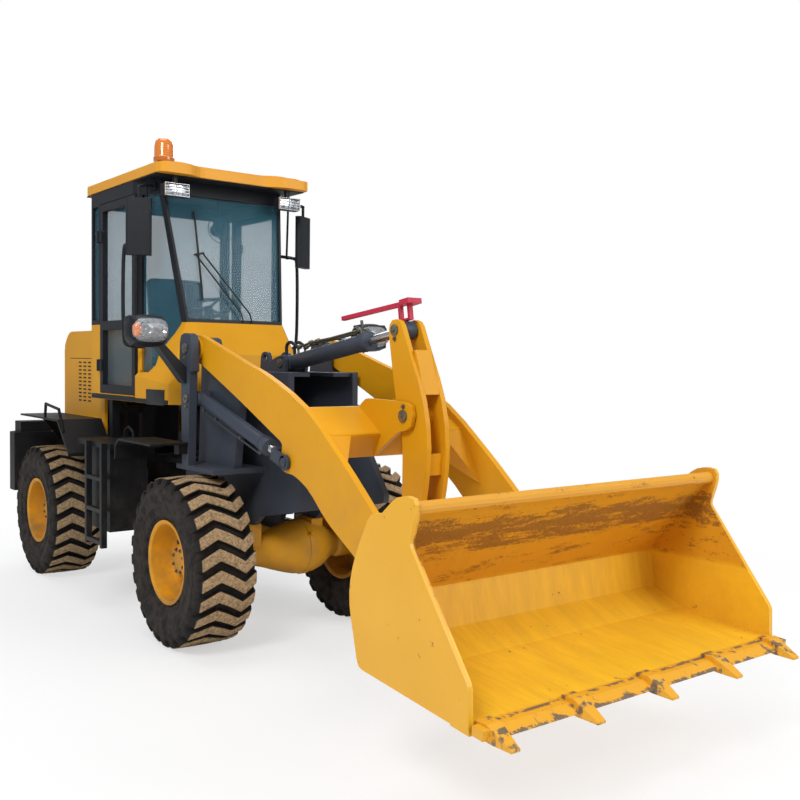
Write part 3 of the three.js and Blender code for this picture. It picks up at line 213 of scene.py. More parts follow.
class Finish:
    """One material: a Principled shader and the nodes that feed it."""

    def __init__(self, name, **constants):
        self.material = bpy.data.materials.new(name)
        self.material.use_nodes = True
        self.tree = self.material.node_tree
        self.shader = self.tree.nodes["Principled BSDF"]
        for socket, value in constants.items():
            self.shader.inputs[socket.replace("_", " ")].default_value = value
        self._place = None

    def add(self, kind, settings=None, values=None):
        node = self.tree.nodes.new(kind)
        for key, value in (settings or {}).items():
            setattr(node, key, value)
        for key, value in (values or {}).items():
            if isinstance(value, Wire):
                self.tree.links.new(value.socket, node.inputs[key])
            else:
                node.inputs[key].default_value = value
        return [Wire(self, output) for output in node.outputs]

    def place(self):
        if self._place is None:
            self._place = self.add("ShaderNodeTexCoord")[3]
        return self._place

    def xyz(self):
        return self.add("ShaderNodeSeparateXYZ", {}, {0: self.place()})[:3]

    def noise(self, scale, detail=4.0, rough=0.55, stretch=None):
        where = self.place()
        if stretch:
            where = self.add("ShaderNodeMapping", {}, {"Vector": where, "Scale": stretch})[0]
        values = {"Vector": where, "Scale": scale, "Detail": detail, "Roughness": rough}
        return self.add("ShaderNodeTexNoise", {}, values)[0]

    def cells(self, scale):
        values = {"Vector": self.place(), "Scale": scale}
        return self.add("ShaderNodeTexVoronoi", {}, values)[0]

    def mix(self, mask, first, second):
        values = {0: mask, 6: first, 7: second}
        return self.add("ShaderNodeMix", {"data_type": "RGBA"}, values)[2]

    def feed(self, socket, wire):
        self.tree.links.new(wire.socket, self.shader.inputs[socket])

    def bump(self, height, strength=0.3, distance=0.002, under=None):
        values = {"Strength": strength, "Distance": distance, "Height": height}
        if under:
            values["Normal"] = under
        self.feed("Normal", self.add("ShaderNodeBump", {}, values)[0])


def tone(code, alpha=1.0):
    """A paint code as linear colour."""
    parts = [int(code[i : i + 2], 16) / 255 for i in (0, 2, 4)]
    return tuple(c / 12.92 if c < 0.04045 else ((c + 0.055) / 1.055) ** 2.4 for c in parts) + (alpha,)


def enamel(name, main, deep, dust, dust_top, roughness=0.38, dust_amount=0.5, coat=0.06):
    finish = Finish(name, Roughness=roughness, Coat_Weight=coat, Coat_Roughness=0.25, Specular_IOR_Level=0.22)
    z = finish.xyz()[2]
    broad = finish.noise(1.6, 3.0)
    grain = finish.noise(38.0, 5.0, 0.65)
    colour = finish.mix(broad.above(0.52, 0.22), tone(main), tone(deep))
    low = z.below(dust_top, dust_top * 0.55)
    patch = finish.noise(7.0, 6.0, 0.6).above(0.5, 0.16)
    settled = low * patch * dust_amount
    scuff = finish.noise(60.0, 2.0, 0.5, (1.0, 1.0, 0.16)).above(0.69, 0.03)
    colour = finish.mix(settled, colour, tone(dust))
    colour = finish.mix(scuff * 0.16, colour, tone(dust))
    finish.feed("Base Color", colour)
    finish.feed("Roughness", roughness + settled * 0.35 + grain * 0.1)
    edge = finish.add("ShaderNodeBevel", {"samples": 4}, {"Radius": 0.005})[0]
    finish.bump(grain * 0.7 + broad * 0.3, 0.12, 0.0012, edge)
    return finish.material


yellow = enamel("yellow_enamel", "DC9C14", "D2920E", "A07E50", 0.9)
# The roof's yellow is painted lighter than the body's yellow: painted light on the roof top.
lit_roof_yellow = enamel("roof_enamel", "E2A035", "D99428", "B08A58", 0.6, 0.45)
blue_black = enamel("frame_enamel", "3F4652", "353B46", "6E6353", 0.9, 0.42, 0.3)
satin_black = enamel("black_enamel", "1F2228", "17191D", "5C5449", 0.8, 0.45, 0.3)
# The frame's dark enamel, painted darker still on the rear frame, counterweight, tanks, mudguards and
# steering barrels: painted shade.
shaded_frame_black = enamel("chassis_enamel", "15171A", "101114", "5A5248", 0.8, 0.45, 0.35)
for name in ["engine_hood", "cab_body", "boom", "bell_crank", "bucket_link", "rear_axle"]:
    nodes[name].data.materials[0] = yellow
nodes["cab_roof"].data.materials[0] = lit_roof_yellow
nodes["front_frame"].data.materials[0] = blue_black
for name in ["rear_frame", "counterweight"]:
    nodes[name].data.materials[0] = shaded_frame_black
for name in ["cab_frame", "hood_grille", "seat_base", "steering_console", "engine_block"]:
    nodes[name].data.materials[0] = satin_black
for side in SIDES:
    for name in ["side_tank", "rear_mudguard", "front_mudguard", "steer_barrel"]:
        nodes[f"{name}_{side}"].data.materials[0] = shaded_frame_black
    for name in ["cab_door", "mirror", "head_lamp"]:
        nodes[f"{name}_{side}"].data.materials[0] = satin_black


# ---- wheels ----
# Wide earthmover tyres with deep chevron lugs, dusty on the tread, on dished steel rims. Ten nuts
# hold each rim, and eight smaller bolts close its hub.


def settle(obj, name, body, material, angle=35):
    """Names a made piece, leaves its place in its mesh, and fixes it to its body."""
    deselect()
    obj.select_set(True)
    bpy.context.view_layer.objects.active = obj
    bpy.ops.object.transform_apply(location=True, rotation=True, scale=True)
    if angle:
        bpy.ops.object.shade_smooth_by_angle(angle=math.radians(angle))
    obj.name = name
    obj.data.materials.clear()
    obj.data.materials.append(material)
    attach(obj, body)
    return obj


def round_edges(obj, width, segments=2):
    deselect()
    obj.select_set(True)
    bpy.context.view_layer.objects.active = obj
    bevel = obj.modifiers.new("edge", "BEVEL")
    bevel.width = width
    bevel.segments = segments
    bevel.limit_method = "ANGLE"
    bpy.ops.object.modifier_apply(modifier=bevel.name)
    return obj


def drum(start, end, radius, edge=0.002, sides=32):
    """A round bar or disc between two points, with rounded edges."""
    deselect()
    start, end = Vector(start), Vector(end)
    along = end - start
    bpy.ops.mesh.primitive_cylinder_add(
        vertices=sides,
        radius=radius,
        depth=along.length,
        location=(start + end) / 2,
        rotation=along.to_track_quat("Z", "Y").to_euler(),
    )
    obj = bpy.context.object
    bpy.ops.object.transform_apply(location=True, rotation=True, scale=True)
    return round_edges(obj, edge) if edge else obj


def joined(pieces):
    deselect()
    for piece in pieces:
        piece.select_set(True)
    bpy.context.view_layer.objects.active = pieces[0]
    if len(pieces) > 1:
        bpy.ops.object.join()
    return bpy.context.object


def hex_bolt(spot, normal, size):
    """A hexagon head on a washer, lying on a face."""
    normal = Vector(normal).normalized()
    spot = Vector(spot)
    washer = drum(spot - normal * 0.001, spot + normal * size * 0.15, size * 0.75, 0, 16)
    head = drum(spot, spot + normal * size * 0.75, size * 0.5, size * 0.06, 6)
    return joined([head, washer])


def turned(profile, steps, centre):
    """A turned shape: [radius, place along the axis] points, spun once round the Y axis."""
    deselect()
    bpy.ops.mesh.primitive_circle_add(vertices=len(profile), radius=1)
    obj = bpy.context.object
    for vertex, (radius, along) in zip(obj.data.vertices, profile):
        vertex.co = (radius, along, 0)
    bpy.ops.object.mode_set(mode="EDIT")
    bpy.ops.mesh.select_all(action="SELECT")
    bpy.ops.mesh.spin(steps=steps, angle=math.tau, center=(0, 0, 0), axis=(0, 1, 0))
    bpy.ops.mesh.select_all(action="SELECT")
    bpy.ops.mesh.remove_doubles(threshold=0.00002)
    bpy.ops.mesh.normals_make_consistent(inside=False)
    bpy.ops.object.mode_set(mode="OBJECT")
    obj.data.transform(Matrix.Translation(centre))
    return obj


tyre_rubber = Finish("tyre_rubber", Roughness=0.9, Specular_IOR_Level=0.25)
lug_height = tyre_rubber.add("ShaderNodeAttribute", {"attribute_name": "lug_height"})[2]
clods = tyre_rubber.noise(16.0, 6.0, 0.65)
fine = tyre_rubber.noise(140.0, 3.0, 0.6)
grit = tyre_rubber.cells(95.0)
pits = tyre_rubber.noise(48.0, 6.0, 0.75).above(0.53, 0.09)
worn_dust = lug_height.above(0.93, 0.035) * clods.above(0.30, 0.1)
film = (1 - lug_height) * clods.above(0.52, 0.16) * 0.4
rubber_colour = tyre_rubber.mix(fine * 0.6, tone("141415"), tone("252322"))
rubber_colour = tyre_rubber.mix(film, rubber_colour, tone("5C5045"))
soil = tyre_rubber.mix(grit.above(0.35, 0.3), tone("8C7556"), tone("B79A74"))
soil = tyre_rubber.mix(pits * 0.7, soil, tone("5A4C3D"))
rubber_colour = tyre_rubber.mix(worn_dust * 0.95, rubber_colour, soil)
tyre_rubber.feed("Base Color", rubber_colour)
tyre_rubber.bump(clods * 0.4 + fine * 0.3 + grit * 0.3, 0.5, 0.004)
rim_finish = enamel("rim_enamel", "E6A01A", "D48F14", "8A6A40", 0.7, 0.42, 0.8)
nut_steel = Finish("nut_steel", Metallic=0.7, Roughness=0.55)
nut_rust = nut_steel.noise(60.0, 5.0).above(0.5, 0.15)
nut_steel.feed("Base Color", nut_steel.mix(nut_rust, tone("8A8478"), tone("6A4526")))
LUGS = 26
TYRE_RADIUS = 0.5375
# place across the tyre, radius there, and how far forward the lug is there
lug_line = [
    (-0.2005, 0.462, -0.004), (-0.192, 0.505, 0.0), (-0.178, 0.5330, 0.004), (-0.060, 0.5370, 0.059),
    (0.020, 0.5372, 0.018), (0.105, 0.5370, -0.035), (0.178, 0.5330, 0.022), (0.192, 0.505, 0.028),
    (0.2005, 0.462, 0.030),
]
carcass = [
    (0.258, 0.150), (0.272, 0.166), (0.288, 0.178), (0.294, 0.186), (0.304, 0.187), (0.309, 0.186),
    (0.345, 0.197), (0.349, 0.2005), (0.356, 0.2010), (0.361, 0.1995), (0.400, 0.2035), (0.430, 0.2035),
    (0.434, 0.2060), (0.441, 0.2058), (0.445, 0.2025), (0.452, 0.202),
    (0.484, 0.190), (0.494, 0.174), (0.497, 0.120), (0.498, 0.0),
]
carcass = carcass + [(r, -a) for r, a in reversed(carcass[:-1])]
rim_profile = [
    (0.0, 0.088), (0.060, 0.088), (0.092, 0.084), (0.104, 0.070), (0.109, 0.050), (0.110, 0.030),
    (0.130, 0.020), (0.160, 0.014), (0.200, 0.016), (0.222, 0.030), (0.232, 0.060), (0.236, 0.140),
    (0.240, 0.166), (0.252, 0.1745), (0.266, 0.175), (0.2675, 0.168), (0.2565, 0.160), (0.2537, 0.150),
    (0.2537, -0.150), (0.2565, -0.160), (0.2675, -0.168), (0.266, -0.175), (0.252, -0.1745), (0.240, -0.166),
    (0.236, -0.120), (0.220, -0.006), (0.110, -0.008), (0.108, -0.070), (0.0, -0.070),
]


def make_tyre():
    body = turned(carcass, 96, (0, 0, 0))
    deselect()
    bpy.ops.mesh.primitive_grid_add(x_subdivisions=8, y_subdivisions=3, size=1)
    lug = bpy.context.object
    pitch = math.tau / LUGS
    rows = sorted({round(v.co.x, 4) for v in lug.data.vertices})
    for vertex in lug.data.vertices:
        along, radius, lead = lug_line[min(range(len(rows)), key=lambda i: abs(rows[i] - vertex.co.x))]
        width = pitch * (0.285 if abs(along) < 0.19 else 0.26)
        angle = vertex.co.y * 2 * width - lead / TYRE_RADIUS
        vertex.co = (radius * math.sin(angle), along, radius * math.cos(angle))
    bpy.ops.object.mode_set(mode="EDIT")
    bpy.ops.mesh.select_all(action="SELECT")
    bpy.ops.mesh.extrude_region_move()
    bpy.ops.object.mode_set(mode="OBJECT")
    for vertex in lug.data.vertices:
        if vertex.select:
            depth = math.hypot(vertex.co.x, vertex.co.z)
            inner = (depth - 0.05) / depth
            vertex.co = (vertex.co.x * inner, vertex.co.y * 0.93, vertex.co.z * inner)
    bpy.ops.object.mode_set(mode="EDIT")
    bpy.ops.mesh.select_all(action="SELECT")
    bpy.ops.mesh.normals_make_consistent(inside=False)
    bpy.ops.object.mode_set(mode="OBJECT")
    round_edges(lug, 0.005, 2)
    copies = []
    for i in range(LUGS):
        copy = lug.copy()
        copy.data = lug.data.copy()
        scene.collection.objects.link(copy)
        copy.data.transform(Matrix.Rotation(i * pitch, 4, "Y"))
        copies.append(copy)
    bpy.data.objects.remove(lug)
    tyre = joined([body] + copies)
    height = tyre.data.attributes.new("lug_height", "FLOAT", "POINT")
    for vertex, value in zip(tyre.data.vertices, height.data):
        value.value = min(1.0, max(0.0, (math.hypot(vertex.co.x, vertex.co.z) - 0.45) / 0.085))
    return tyre


first_tyre = make_tyre()
for end in ["front", "rear"]:
    for side, sign in SIDES.items():
        centre = Vector(joints[f"{end}_{side}_wheel_spin"]["pos_m"])
        body = f"{end}_{side}_wheel"
        tyre = first_tyre.copy()
        tyre.data = first_tyre.data.copy()
        scene.collection.objects.link(tyre)
        tyre.data.transform(Matrix.Translation(centre))
        settle(tyre, f"{body}_tread", body, tyre_rubber.material, 40)
        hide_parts(f"{end}_{side}_tyre")
        rim = turned([(r, a * sign) for r, a in rim_profile], 72, (0, 0, 0))
        rim.data.transform(Matrix.Translation(centre))
        settle(rim, f"{body}_dish", body, rim_finish, 30)
        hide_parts(f"{end}_{side}_rim")
        nuts = []
        for i in range(10):
            angle = math.tau * i / 10
            out = Vector((math.cos(angle), 0, math.sin(angle)))
            nuts.append(hex_bolt(centre + out * 0.160 + Vector((0, sign * 0.013, 0)), (0, sign, 0), 0.030))
        for i in range(8):
            angle = math.tau * (i + 0.5) / 8
            out = Vector((math.cos(angle), 0, math.sin(angle)))
            nuts.append(hex_bolt(centre + out * 0.074 + Vector((0, sign * 0.086, 0)), (0, sign, 0), 0.018))
        settle(joined(nuts), f"{body}_nuts", body, nut_steel.material, 30)
bpy.data.objects.remove(first_tyre)

# ---- front axle ----
# A cast housing with a flange round its differential case, two pads, a plug and a short drive
# shaft, all painted with the machine.


def block(low, high, edge=0.003, segments=2):
    deselect()
    low, high = Vector(low), Vector(high)
    bpy.ops.mesh.primitive_cube_add(size=1, location=(low + high) / 2)
    obj = bpy.context.object
    obj.scale = [abs(v) for v in (high - low)]
    bpy.ops.object.transform_apply(location=True, rotation=True, scale=True)
    return round_edges(obj, edge, segments)


axle_centre = Vector(joints["front_right_wheel_spin"]["pos_m"])
axle_centre.y = 0
axle_profile = [
    (0.0, -0.714), (0.058, -0.714), (0.060, -0.700), (0.060, -0.575), (0.104, -0.573), (0.105, -0.445),
    (0.086, -0.430), (0.080, -0.330), (0.088, -0.240), (0.110, -0.150), (0.134, -0.080), (0.150, -0.030),
    (0.165, 0.020), (0.180, 0.080), (0.186, 0.132), (0.1905, 0.134), (0.1905, 0.166), (0.186, 0.168),
    (0.180, 0.220), (0.162, 0.280), (0.128, 0.335), (0.100, 0.375), (0.088, 0.420), (0.105, 0.445),
    (0.104, 0.573), (0.060, 0.575), (0.060, 0.700), (0.058, 0.714), (0.0, 0.714),
]
front_axle = turned(axle_profile, 64, axle_centre)
pad_y, pad_half, pad_top = 0.24, 0.045, 0.197
pads = []
for sign in (-1, 1):
    low = Vector((-0.09, sign * pad_y - pad_half, 0.05))
    high = Vector((0.09, sign * pad_y + pad_half, pad_top))
    pads.append(block(axle_centre + low, axle_centre + high))
shaft = drum(axle_centre + Vector((-0.15, 0.15, 0.03)), axle_centre + Vector((-0.86, 0.15, 0.03)), 0.038)
plug = hex_bolt(axle_centre + Vector((0.155, 0.15, 0.105)), (1, 0, 0.7), 0.03)
front_axle = joined([front_axle, shaft, plug] + pads)
settle(front_axle, "front_axle_casting", "front_body", yellow, 32)
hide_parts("front_axle")

# ---- hydraulic cylinders ----
# Painted tubes with a screwed gland and steel pipes along them, and hard-chromed rods that end in
# an eye or a fork. The tilt cylinder also carries the level indicator's post.


def pipe(points, radius, smooth=True):
    """A bent tube along a path, turned into a mesh."""
    deselect()
    data = bpy.data.curves.new("path", "CURVE")
    data.dimensions = "3D"
    data.bevel_depth = radius
    data.bevel_resolution = 3
    data.use_fill_caps = True
    spline = data.splines.new("NURBS" if smooth else "POLY")
    spline.points.add(len(points) - 1)
    for point, spot in zip(spline.points, points):
        point.co = (*spot, 1)
    if smooth:
        spline.use_endpoint_u = True
        spline.order_u = 3
        spline.resolution_u = 6
    obj = bpy.data.objects.new("pipe", data)
    scene.collection.objects.link(obj)
    obj.select_set(True)
    bpy.context.view_layer.objects.active = obj
    bpy.ops.object.convert(target="MESH")
    return bpy.context.object


chrome = Finish("chromed_rod", Metallic=1.0, Roughness=0.12)
chrome_film = chrome.noise(9.0, 4.0).above(0.55, 0.2)
chrome.feed("Base Color", chrome.mix(chrome_film * 0.3, tone("D5D8DC"), tone("9C958A")))
chrome.feed("Roughness", 0.1 + chrome_film * 0.18)
grey_steel = Finish("dark_steel", Metallic=0.6, Roughness=0.5)
grey_steel.feed("Base Color", grey_steel.mix(grey_steel.noise(30.0, 4.0), tone("3B3E44"), tone("56585B")))


# Near black: painted shade in the hood's air slots and seam, and the real black of the hose elbows.
slot_black = Finish("slot_black", Roughness=0.8)
slot_black.feed("Base Color", slot_black.mix(slot_black.noise(20.0, 3.0), tone("0E0F11"), tone("1B1B1C")))


def cylinder_place(barrel, rod):
    """Where the barrel's foot pin is, and the way that the rod comes out."""
    base = Vector(joints[f"{barrel}_swing"]["pos_m"])
    axis = Vector(joints[f"{rod}_slide"]["axis"]).normalized()
    return base, axis


def make_cylinder(
    name, base, axis, barrel, rod, radius, tube_length, eye_half, rod_radius, rod_start, rod_end
):
    """A barrel with its foot eye and screwed gland, and the rod that slides in it."""

    def band(start, end, width, edge, sides):
        return drum(base + axis * start, base + axis * end, width, edge, sides)

    eye_end = Vector((0, eye_half, 0))
    eye = drum(base - eye_end, base + eye_end, radius * 0.98 + 0.004, 0.003, 40)
    tube = band(radius * 0.7, tube_length, radius, 0.003, 48)
    collar = band(tube_length - 0.06, tube_length - 0.002, radius + 0.008, 0.003, 48)
    ring = band(tube_length - 0.095, tube_length - 0.075, radius + 0.004, 0.002, 48)
    wiper = band(tube_length - 0.004, tube_length + 0.004, rod_radius + 0.010, 0.001, 32)
    settle(joined([tube, eye, collar, ring, wiper]), f"{name}_tube", barrel, blue_black, 30)
    shank = band(rod_start, rod_end, rod_radius, 0.001, 40)
    settle(shank, f"{name}_shank", rod, chrome.material, 30)


lift_reach = 1.1552
for side, sign in SIDES.items():
    base, axis = cylinder_place(f"lift_barrel_{side}", f"lift_rod_{side}")
    barrel, rod = f"lift_barrel_{side}_body", f"lift_rod_{side}_body"
    make_cylinder(
        f"lift_{side}", base, axis, barrel, rod, radius=0.045, tube_length=0.925, eye_half=0.048,
        rod_radius=0.026, rod_start=0.53, rod_end=lift_reach - 0.14,
    )
    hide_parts(f"lift_barrel_{side}")
    eye = base + axis * lift_reach
    upright = axis.cross(Vector((0, 1, 0))).normalized()
    turn_in = Matrix((axis, Vector((0, 1, 0)), upright)).transposed().to_4x4()
    fork = [block((-0.152, -0.045, -0.038), (-0.122, 0.045, 0.038), 0.006)]
    for cheek in (-1, 1):
        fork.append(block((-0.130, cheek * 0.025, -0.038), (0.0, cheek * 0.045, 0.038), 0.004))
        fork.append(drum((0, cheek * 0.025, 0), (0, cheek * 0.045, 0), 0.046, 0.003, 40))
        fork.append(drum((0, cheek * 0.044, 0), (0, cheek * 0.053, 0), 0.028, 0.003, 32))
    fork = joined(fork)
    fork.data.transform(Matrix.Translation(eye) @ turn_in)
    settle(fork, f"lift_{side}_fork", rod, blue_black, 30)
    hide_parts(f"lift_rod_{side}")
    aside = Vector((0, sign * 0.030, 0))
    down = axis.cross(Vector((0, 1, 0))).normalized()
    down = down if down.z < 0 else -down
    run = [(0.09, 0.030), (0.10, 0.056), (0.87, 0.056), (0.885, 0.030)]
    line = [pipe([base + axis * t + aside + down * h for t, h in run], 0.0075, False)]
    for t in (0.28, 0.62):
        spot = base + axis * t + aside + down * 0.050
        line.append(drum(spot - axis * 0.012, spot + axis * 0.012, 0.0135, 0.002, 16))
    for t in (0.10, 0.87):
        spot = base + axis * t + aside + down * 0.036
        line.append(drum(spot, spot + down * 0.018, 0.0125, 0.002, 6))
    settle(joined(line), f"lift_{side}_pipe", barrel, grey_steel.material)

tilt_base, tilt_axis = cylinder_place("tilt_barrel", "tilt_rod")
tilt_reach = 1.2406
make_cylinder(
    "tilt", tilt_base, tilt_axis, "tilt_barrel_body", "tilt_rod_body", radius=0.052, tube_length=0.89,
    eye_half=0.058, rod_radius=0.026, rod_start=0.72, rod_end=tilt_reach - 0.03,
)
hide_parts("tilt_barrel")
tilt_eye = tilt_base + tilt_axis * tilt_reach
eye_ring = drum(tilt_eye - Vector((0, 0.040, 0)), tilt_eye + Vector((0, 0.040, 0)), 0.052, 0.004, 40)
eye_pin = drum(tilt_eye - Vector((0, 0.0405, 0)), tilt_eye + Vector((0, 0.0405, 0)), 0.028, 0.002, 32)
settle(joined([eye_ring, eye_pin]), "tilt_eye", "tilt_rod_body", blue_black, 30)
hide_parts("tilt_rod")
tilt_up = tilt_axis.cross(Vector((0, -1, 0))).normalized()
if tilt_up.z < 0:
    tilt_up = -tilt_up
post_foot = tilt_base + tilt_axis * 0.82
level_post = drum(post_foot + tilt_up * 0.045, post_foot + tilt_up * 0.136, 0.009)
post_nut = drum(post_foot + tilt_up * 0.05, post_foot + tilt_up * 0.075, 0.016)
level_post = joined([level_post, post_nut])
settle(level_post, "level_post", "tilt_barrel_body", grey_steel.material)
olive_steel = Finish("plated_pipe", Metallic=0.7, Roughness=0.42)
olive_steel.feed("Base Color", olive_steel.mix(olive_steel.noise(30.0, 4.0), tone("7B7765"), tone("5C584A")))
for offset, label in ((0.026, "left"), (-0.026, "right")):
    side_step = Vector((0, offset, 0))
    run = [(0.13, 0.040), (0.13, 0.083), (0.30, 0.090), (0.52, 0.078), (0.84, 0.074), (0.85, 0.045)]
    route = [tilt_base + tilt_axis * t + tilt_up * h + side_step for t, h in run]
    made = [pipe(route, 0.0085, False)]
    for t, h in ((0.145, 0.084), (0.29, 0.089), (0.37, 0.0865), (0.82, 0.0742)):
        spot = tilt_base + tilt_axis * t + tilt_up * h + side_step
        made.append(drum(spot - tilt_axis * 0.016, spot + tilt_axis * 0.016, 0.0165, 0.002, 6))
    settle(joined(made), f"tilt_pipe_{label}", "tilt_barrel_body", olive_steel.material)
    loop = [(0.14, 0.084), (0.10, 0.105), (0.055, 0.135), (0.005, 0.130), (-0.012, 0.085), (-0.004, 0.045)]
    route = [tilt_base + tilt_axis * t + tilt_up * h + side_step * 1.2 for t, h in loop]
    settle(pipe(route, 0.011), f"tilt_elbow_{label}", "tilt_barrel_body", slot_black.material)
red = enamel("red_enamel", "C2304A", "B0263F", "7A3A40", 0.2, 0.42)
nodes["level_indicator"].data.materials[0] = red
for side in SIDES:
    nodes[f"steer_rod_{side}"].data.materials[0] = chrome.material

# ---- pins ----
# Each pin end shows as a turned steel head with a grease nipple in its middle, held by one bolt
# beside it. The steel has patches of brown film.
pin_finish = Finish("pin_steel", Metallic=0.75, Roughness=0.4)
pin_rust = pin_finish.noise(45.0, 4.0).above(0.5, 0.2)
pin_finish.feed("Base Color", pin_finish.mix(pin_rust, tone("8E8A80"), tone("5F5548")))


def pin_head(spot, sign, radius, keeper):
    spot = Vector(spot)
    out = Vector((0, sign, 0))
    disc = drum(spot, spot + out * 0.012, radius, 0.003, 40)
    nipple = drum(spot + out * 0.010, spot + out * 0.020, radius * 0.18, 0.002, 12)
    bolt = hex_bolt(spot + Vector((keeper[0], 0, keeper[1])), out, 0.018)
    return [disc, nipple, bolt]


def joint_spot(name, y):
    spot = Vector(joints[name]["pos_m"])
    return (spot.x, y, spot.z)


boom_pins = []
for sign in (-1, 1):
    boom_pins += pin_head(joint_spot("crank_swing", sign * 0.114), sign, 0.034, (0.0, 0.052))
settle(joined(boom_pins), "crank_pin_heads", "boom_body", pin_finish.material, 30)
frame_pins = []
for side, sign in SIDES.items():
    frame_pins += pin_head(joint_spot("lift", sign * 0.620), sign, 0.034, (0.0, -0.06))
    frame_pins += pin_head(joint_spot(f"lift_barrel_{side}_swing", sign * 0.620), sign, 0.028, (0.0, -0.05))
    frame_pins += pin_head(joint_spot("tilt_barrel_swing", sign * 0.090), sign, 0.028, (0.0, 0.04))
settle(joined(frame_pins), "frame_pin_heads", "front_body", pin_finish.material, 30)
crank_pins = []
link_eye = Vector((front_x + 1.505, 0, 1.0))
for spot in (tilt_eye, link_eye):
    for sign in (-1, 1):
        crank_pins += pin_head((spot.x, sign * 0.082, spot.z), sign, 0.031, (0.0, -0.05))
settle(joined(crank_pins), "crank_eye_heads", "crank_body", pin_finish.material, 30)
bucket_pins = []
for sign in (-1, 1):
    bucket_pins += pin_head(joint_spot("bucket_tilt", sign * 0.562), sign, 0.034, (0.0, 0.05))
settle(joined(bucket_pins), "bucket_pin_heads", "bucket_body", pin_finish.material, 30)

# ---- bucket ----
# Thick plate in yellow with small chips. Inside, the lower faces are painted lighter as painted light and
# the upper back darker as painted shade. Digging has worn the paint in streaks along the load's way,
# and brown soil sticks to the upper back. The cutting edge is bare in patches.
bucket_low, bucket_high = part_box("bucket_shell")
bucket_paint = Finish("bucket_paint", Roughness=0.45)
by, bz = bucket_paint.xyz()[1:]
nx, ny, nz = bucket_paint.add("ShaderNodeSeparateXYZ", {}, {0: bucket_paint.add("ShaderNodeTexCoord")[1]})[:3]
floor_faces = nz.above(0.5, 0.1) * (bz - bucket_low.z).below(0.30, 0.02)
side_faces = (0 - ny * by).above(0.3, 0.05)
facing_in = nx.above(0.2, 0.05).most(floor_faces).most(side_faces)
inside = by.size().below(bucket_high.y - 0.018, 0.002) * facing_in
streak = bucket_paint.noise(5.0, 7.0, 0.7, (0.6, 3.5, 0.6))
blotch = bucket_paint.noise(3.2, 6.0, 0.62)
speck = bucket_paint.noise(22.0, 6.0, 0.7)
rise = bz - bucket_low.z
upper = rise.above(0.36, 0.015)
ridge = rise.above(0.56, 0.05) * rise.below(0.70, 0.03)
fan = bucket_paint.noise(9.0, 8.0, 0.72, (1.0, 0.35, 2.4))
worn_mask = inside * streak.above(0.5, 0.12) * 0.4
crumbs = bucket_paint.noise(75.0, 5.0, 0.7)
soil_mask = inside * upper * (ridge * 0.13 + fan * 0.72 + crumbs * 0.28).above(0.57, 0.035)
chip_mask = speck.above(0.665, 0.012) * blotch.above(0.50, 0.05)
bucket_colour = bucket_paint.mix(bucket_paint.noise(1.4, 3.0).above(0.5, 0.2), tone("E6AB22"), tone("DEA218"))
# painted light: the inside below the upper back is painted a lighter yellow
bucket_colour = bucket_paint.mix(inside * (1 - upper), bucket_colour, tone("F0BA26"))
# painted shade: the overhanging upper back inside is painted a darker orange
bucket_colour = bucket_paint.mix(inside * upper * 0.55, bucket_colour, tone("CE8414"))
bucket_colour = bucket_paint.mix(worn_mask, bucket_colour, tone("CB9428"))
bucket_colour = bucket_paint.mix(soil_mask * (0.35 + crumbs * 0.7), bucket_colour, tone("70430F"))
bucket_colour = bucket_paint.mix(chip_mask * 0.9, bucket_colour, tone("4E3420"))
bucket_paint.feed("Base Color", bucket_colour)
bucket_paint.feed("Roughness", 0.4 + soil_mask * 0.4 + worn_mask * 0.15)
bucket_paint.bump(streak * 0.4 + speck * 0.6, 0.18, 0.002)
nodes["bucket_shell"].data.materials[0] = bucket_paint.material
edge_paint = Finish("edge_paint", Roughness=0.45)
edge_low, edge_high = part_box("cutting_edge")
ex = edge_paint.xyz()[0]
lip = (ex - edge_high.x + 0.095).above(0.0, 0.006) * (ex - edge_high.x + 0.072).below(0.0, 0.003)
weld_line = (ex - edge_low.x - 0.022).size().below(0.010, 0.003)
weld_line = weld_line * edge_paint.noise(12.0, 4.0, 0.7).above(0.47, 0.03)
bare = (edge_paint.noise(17.0, 7.0, 0.7) + lip * 0.12).above(0.60, 0.03).most(weld_line)
earthy = edge_paint.mix(edge_paint.noise(50.0, 4.0), tone("8F7F68"), tone("6E5238"))
edge_paint.feed("Base Color", edge_paint.mix(bare, tone("E0A122"), earthy))
edge_paint.feed("Metallic", bare * 0.3)
edge_paint.feed("Normal", edge_paint.add("ShaderNodeBevel", {"samples": 4}, {"Radius": 0.004})[0])
nodes["cutting_edge"].data.materials[0] = edge_paint.material

# ---- glazing ----
# Flat toughened panes with a blue-green tint and a little haze. They are the frame's own panes,
# given a see-through finish.
pane = Finish("tinted_glass", Roughness=0.12, IOR=1.45, Specular_IOR_Level=0.3)
haze = pane.noise(2.2, 4.0).above(0.5, 0.25)
pane.feed("Base Color", pane.mix(haze * 0.5, tone("3A6B80"), tone("4F8592")))
pane.feed("Alpha", 0.29 + haze * 0.04)
for name, node in nodes.items():
    if "glass" in name or name == "windscreen":
        node.data.materials[0] = pane.material

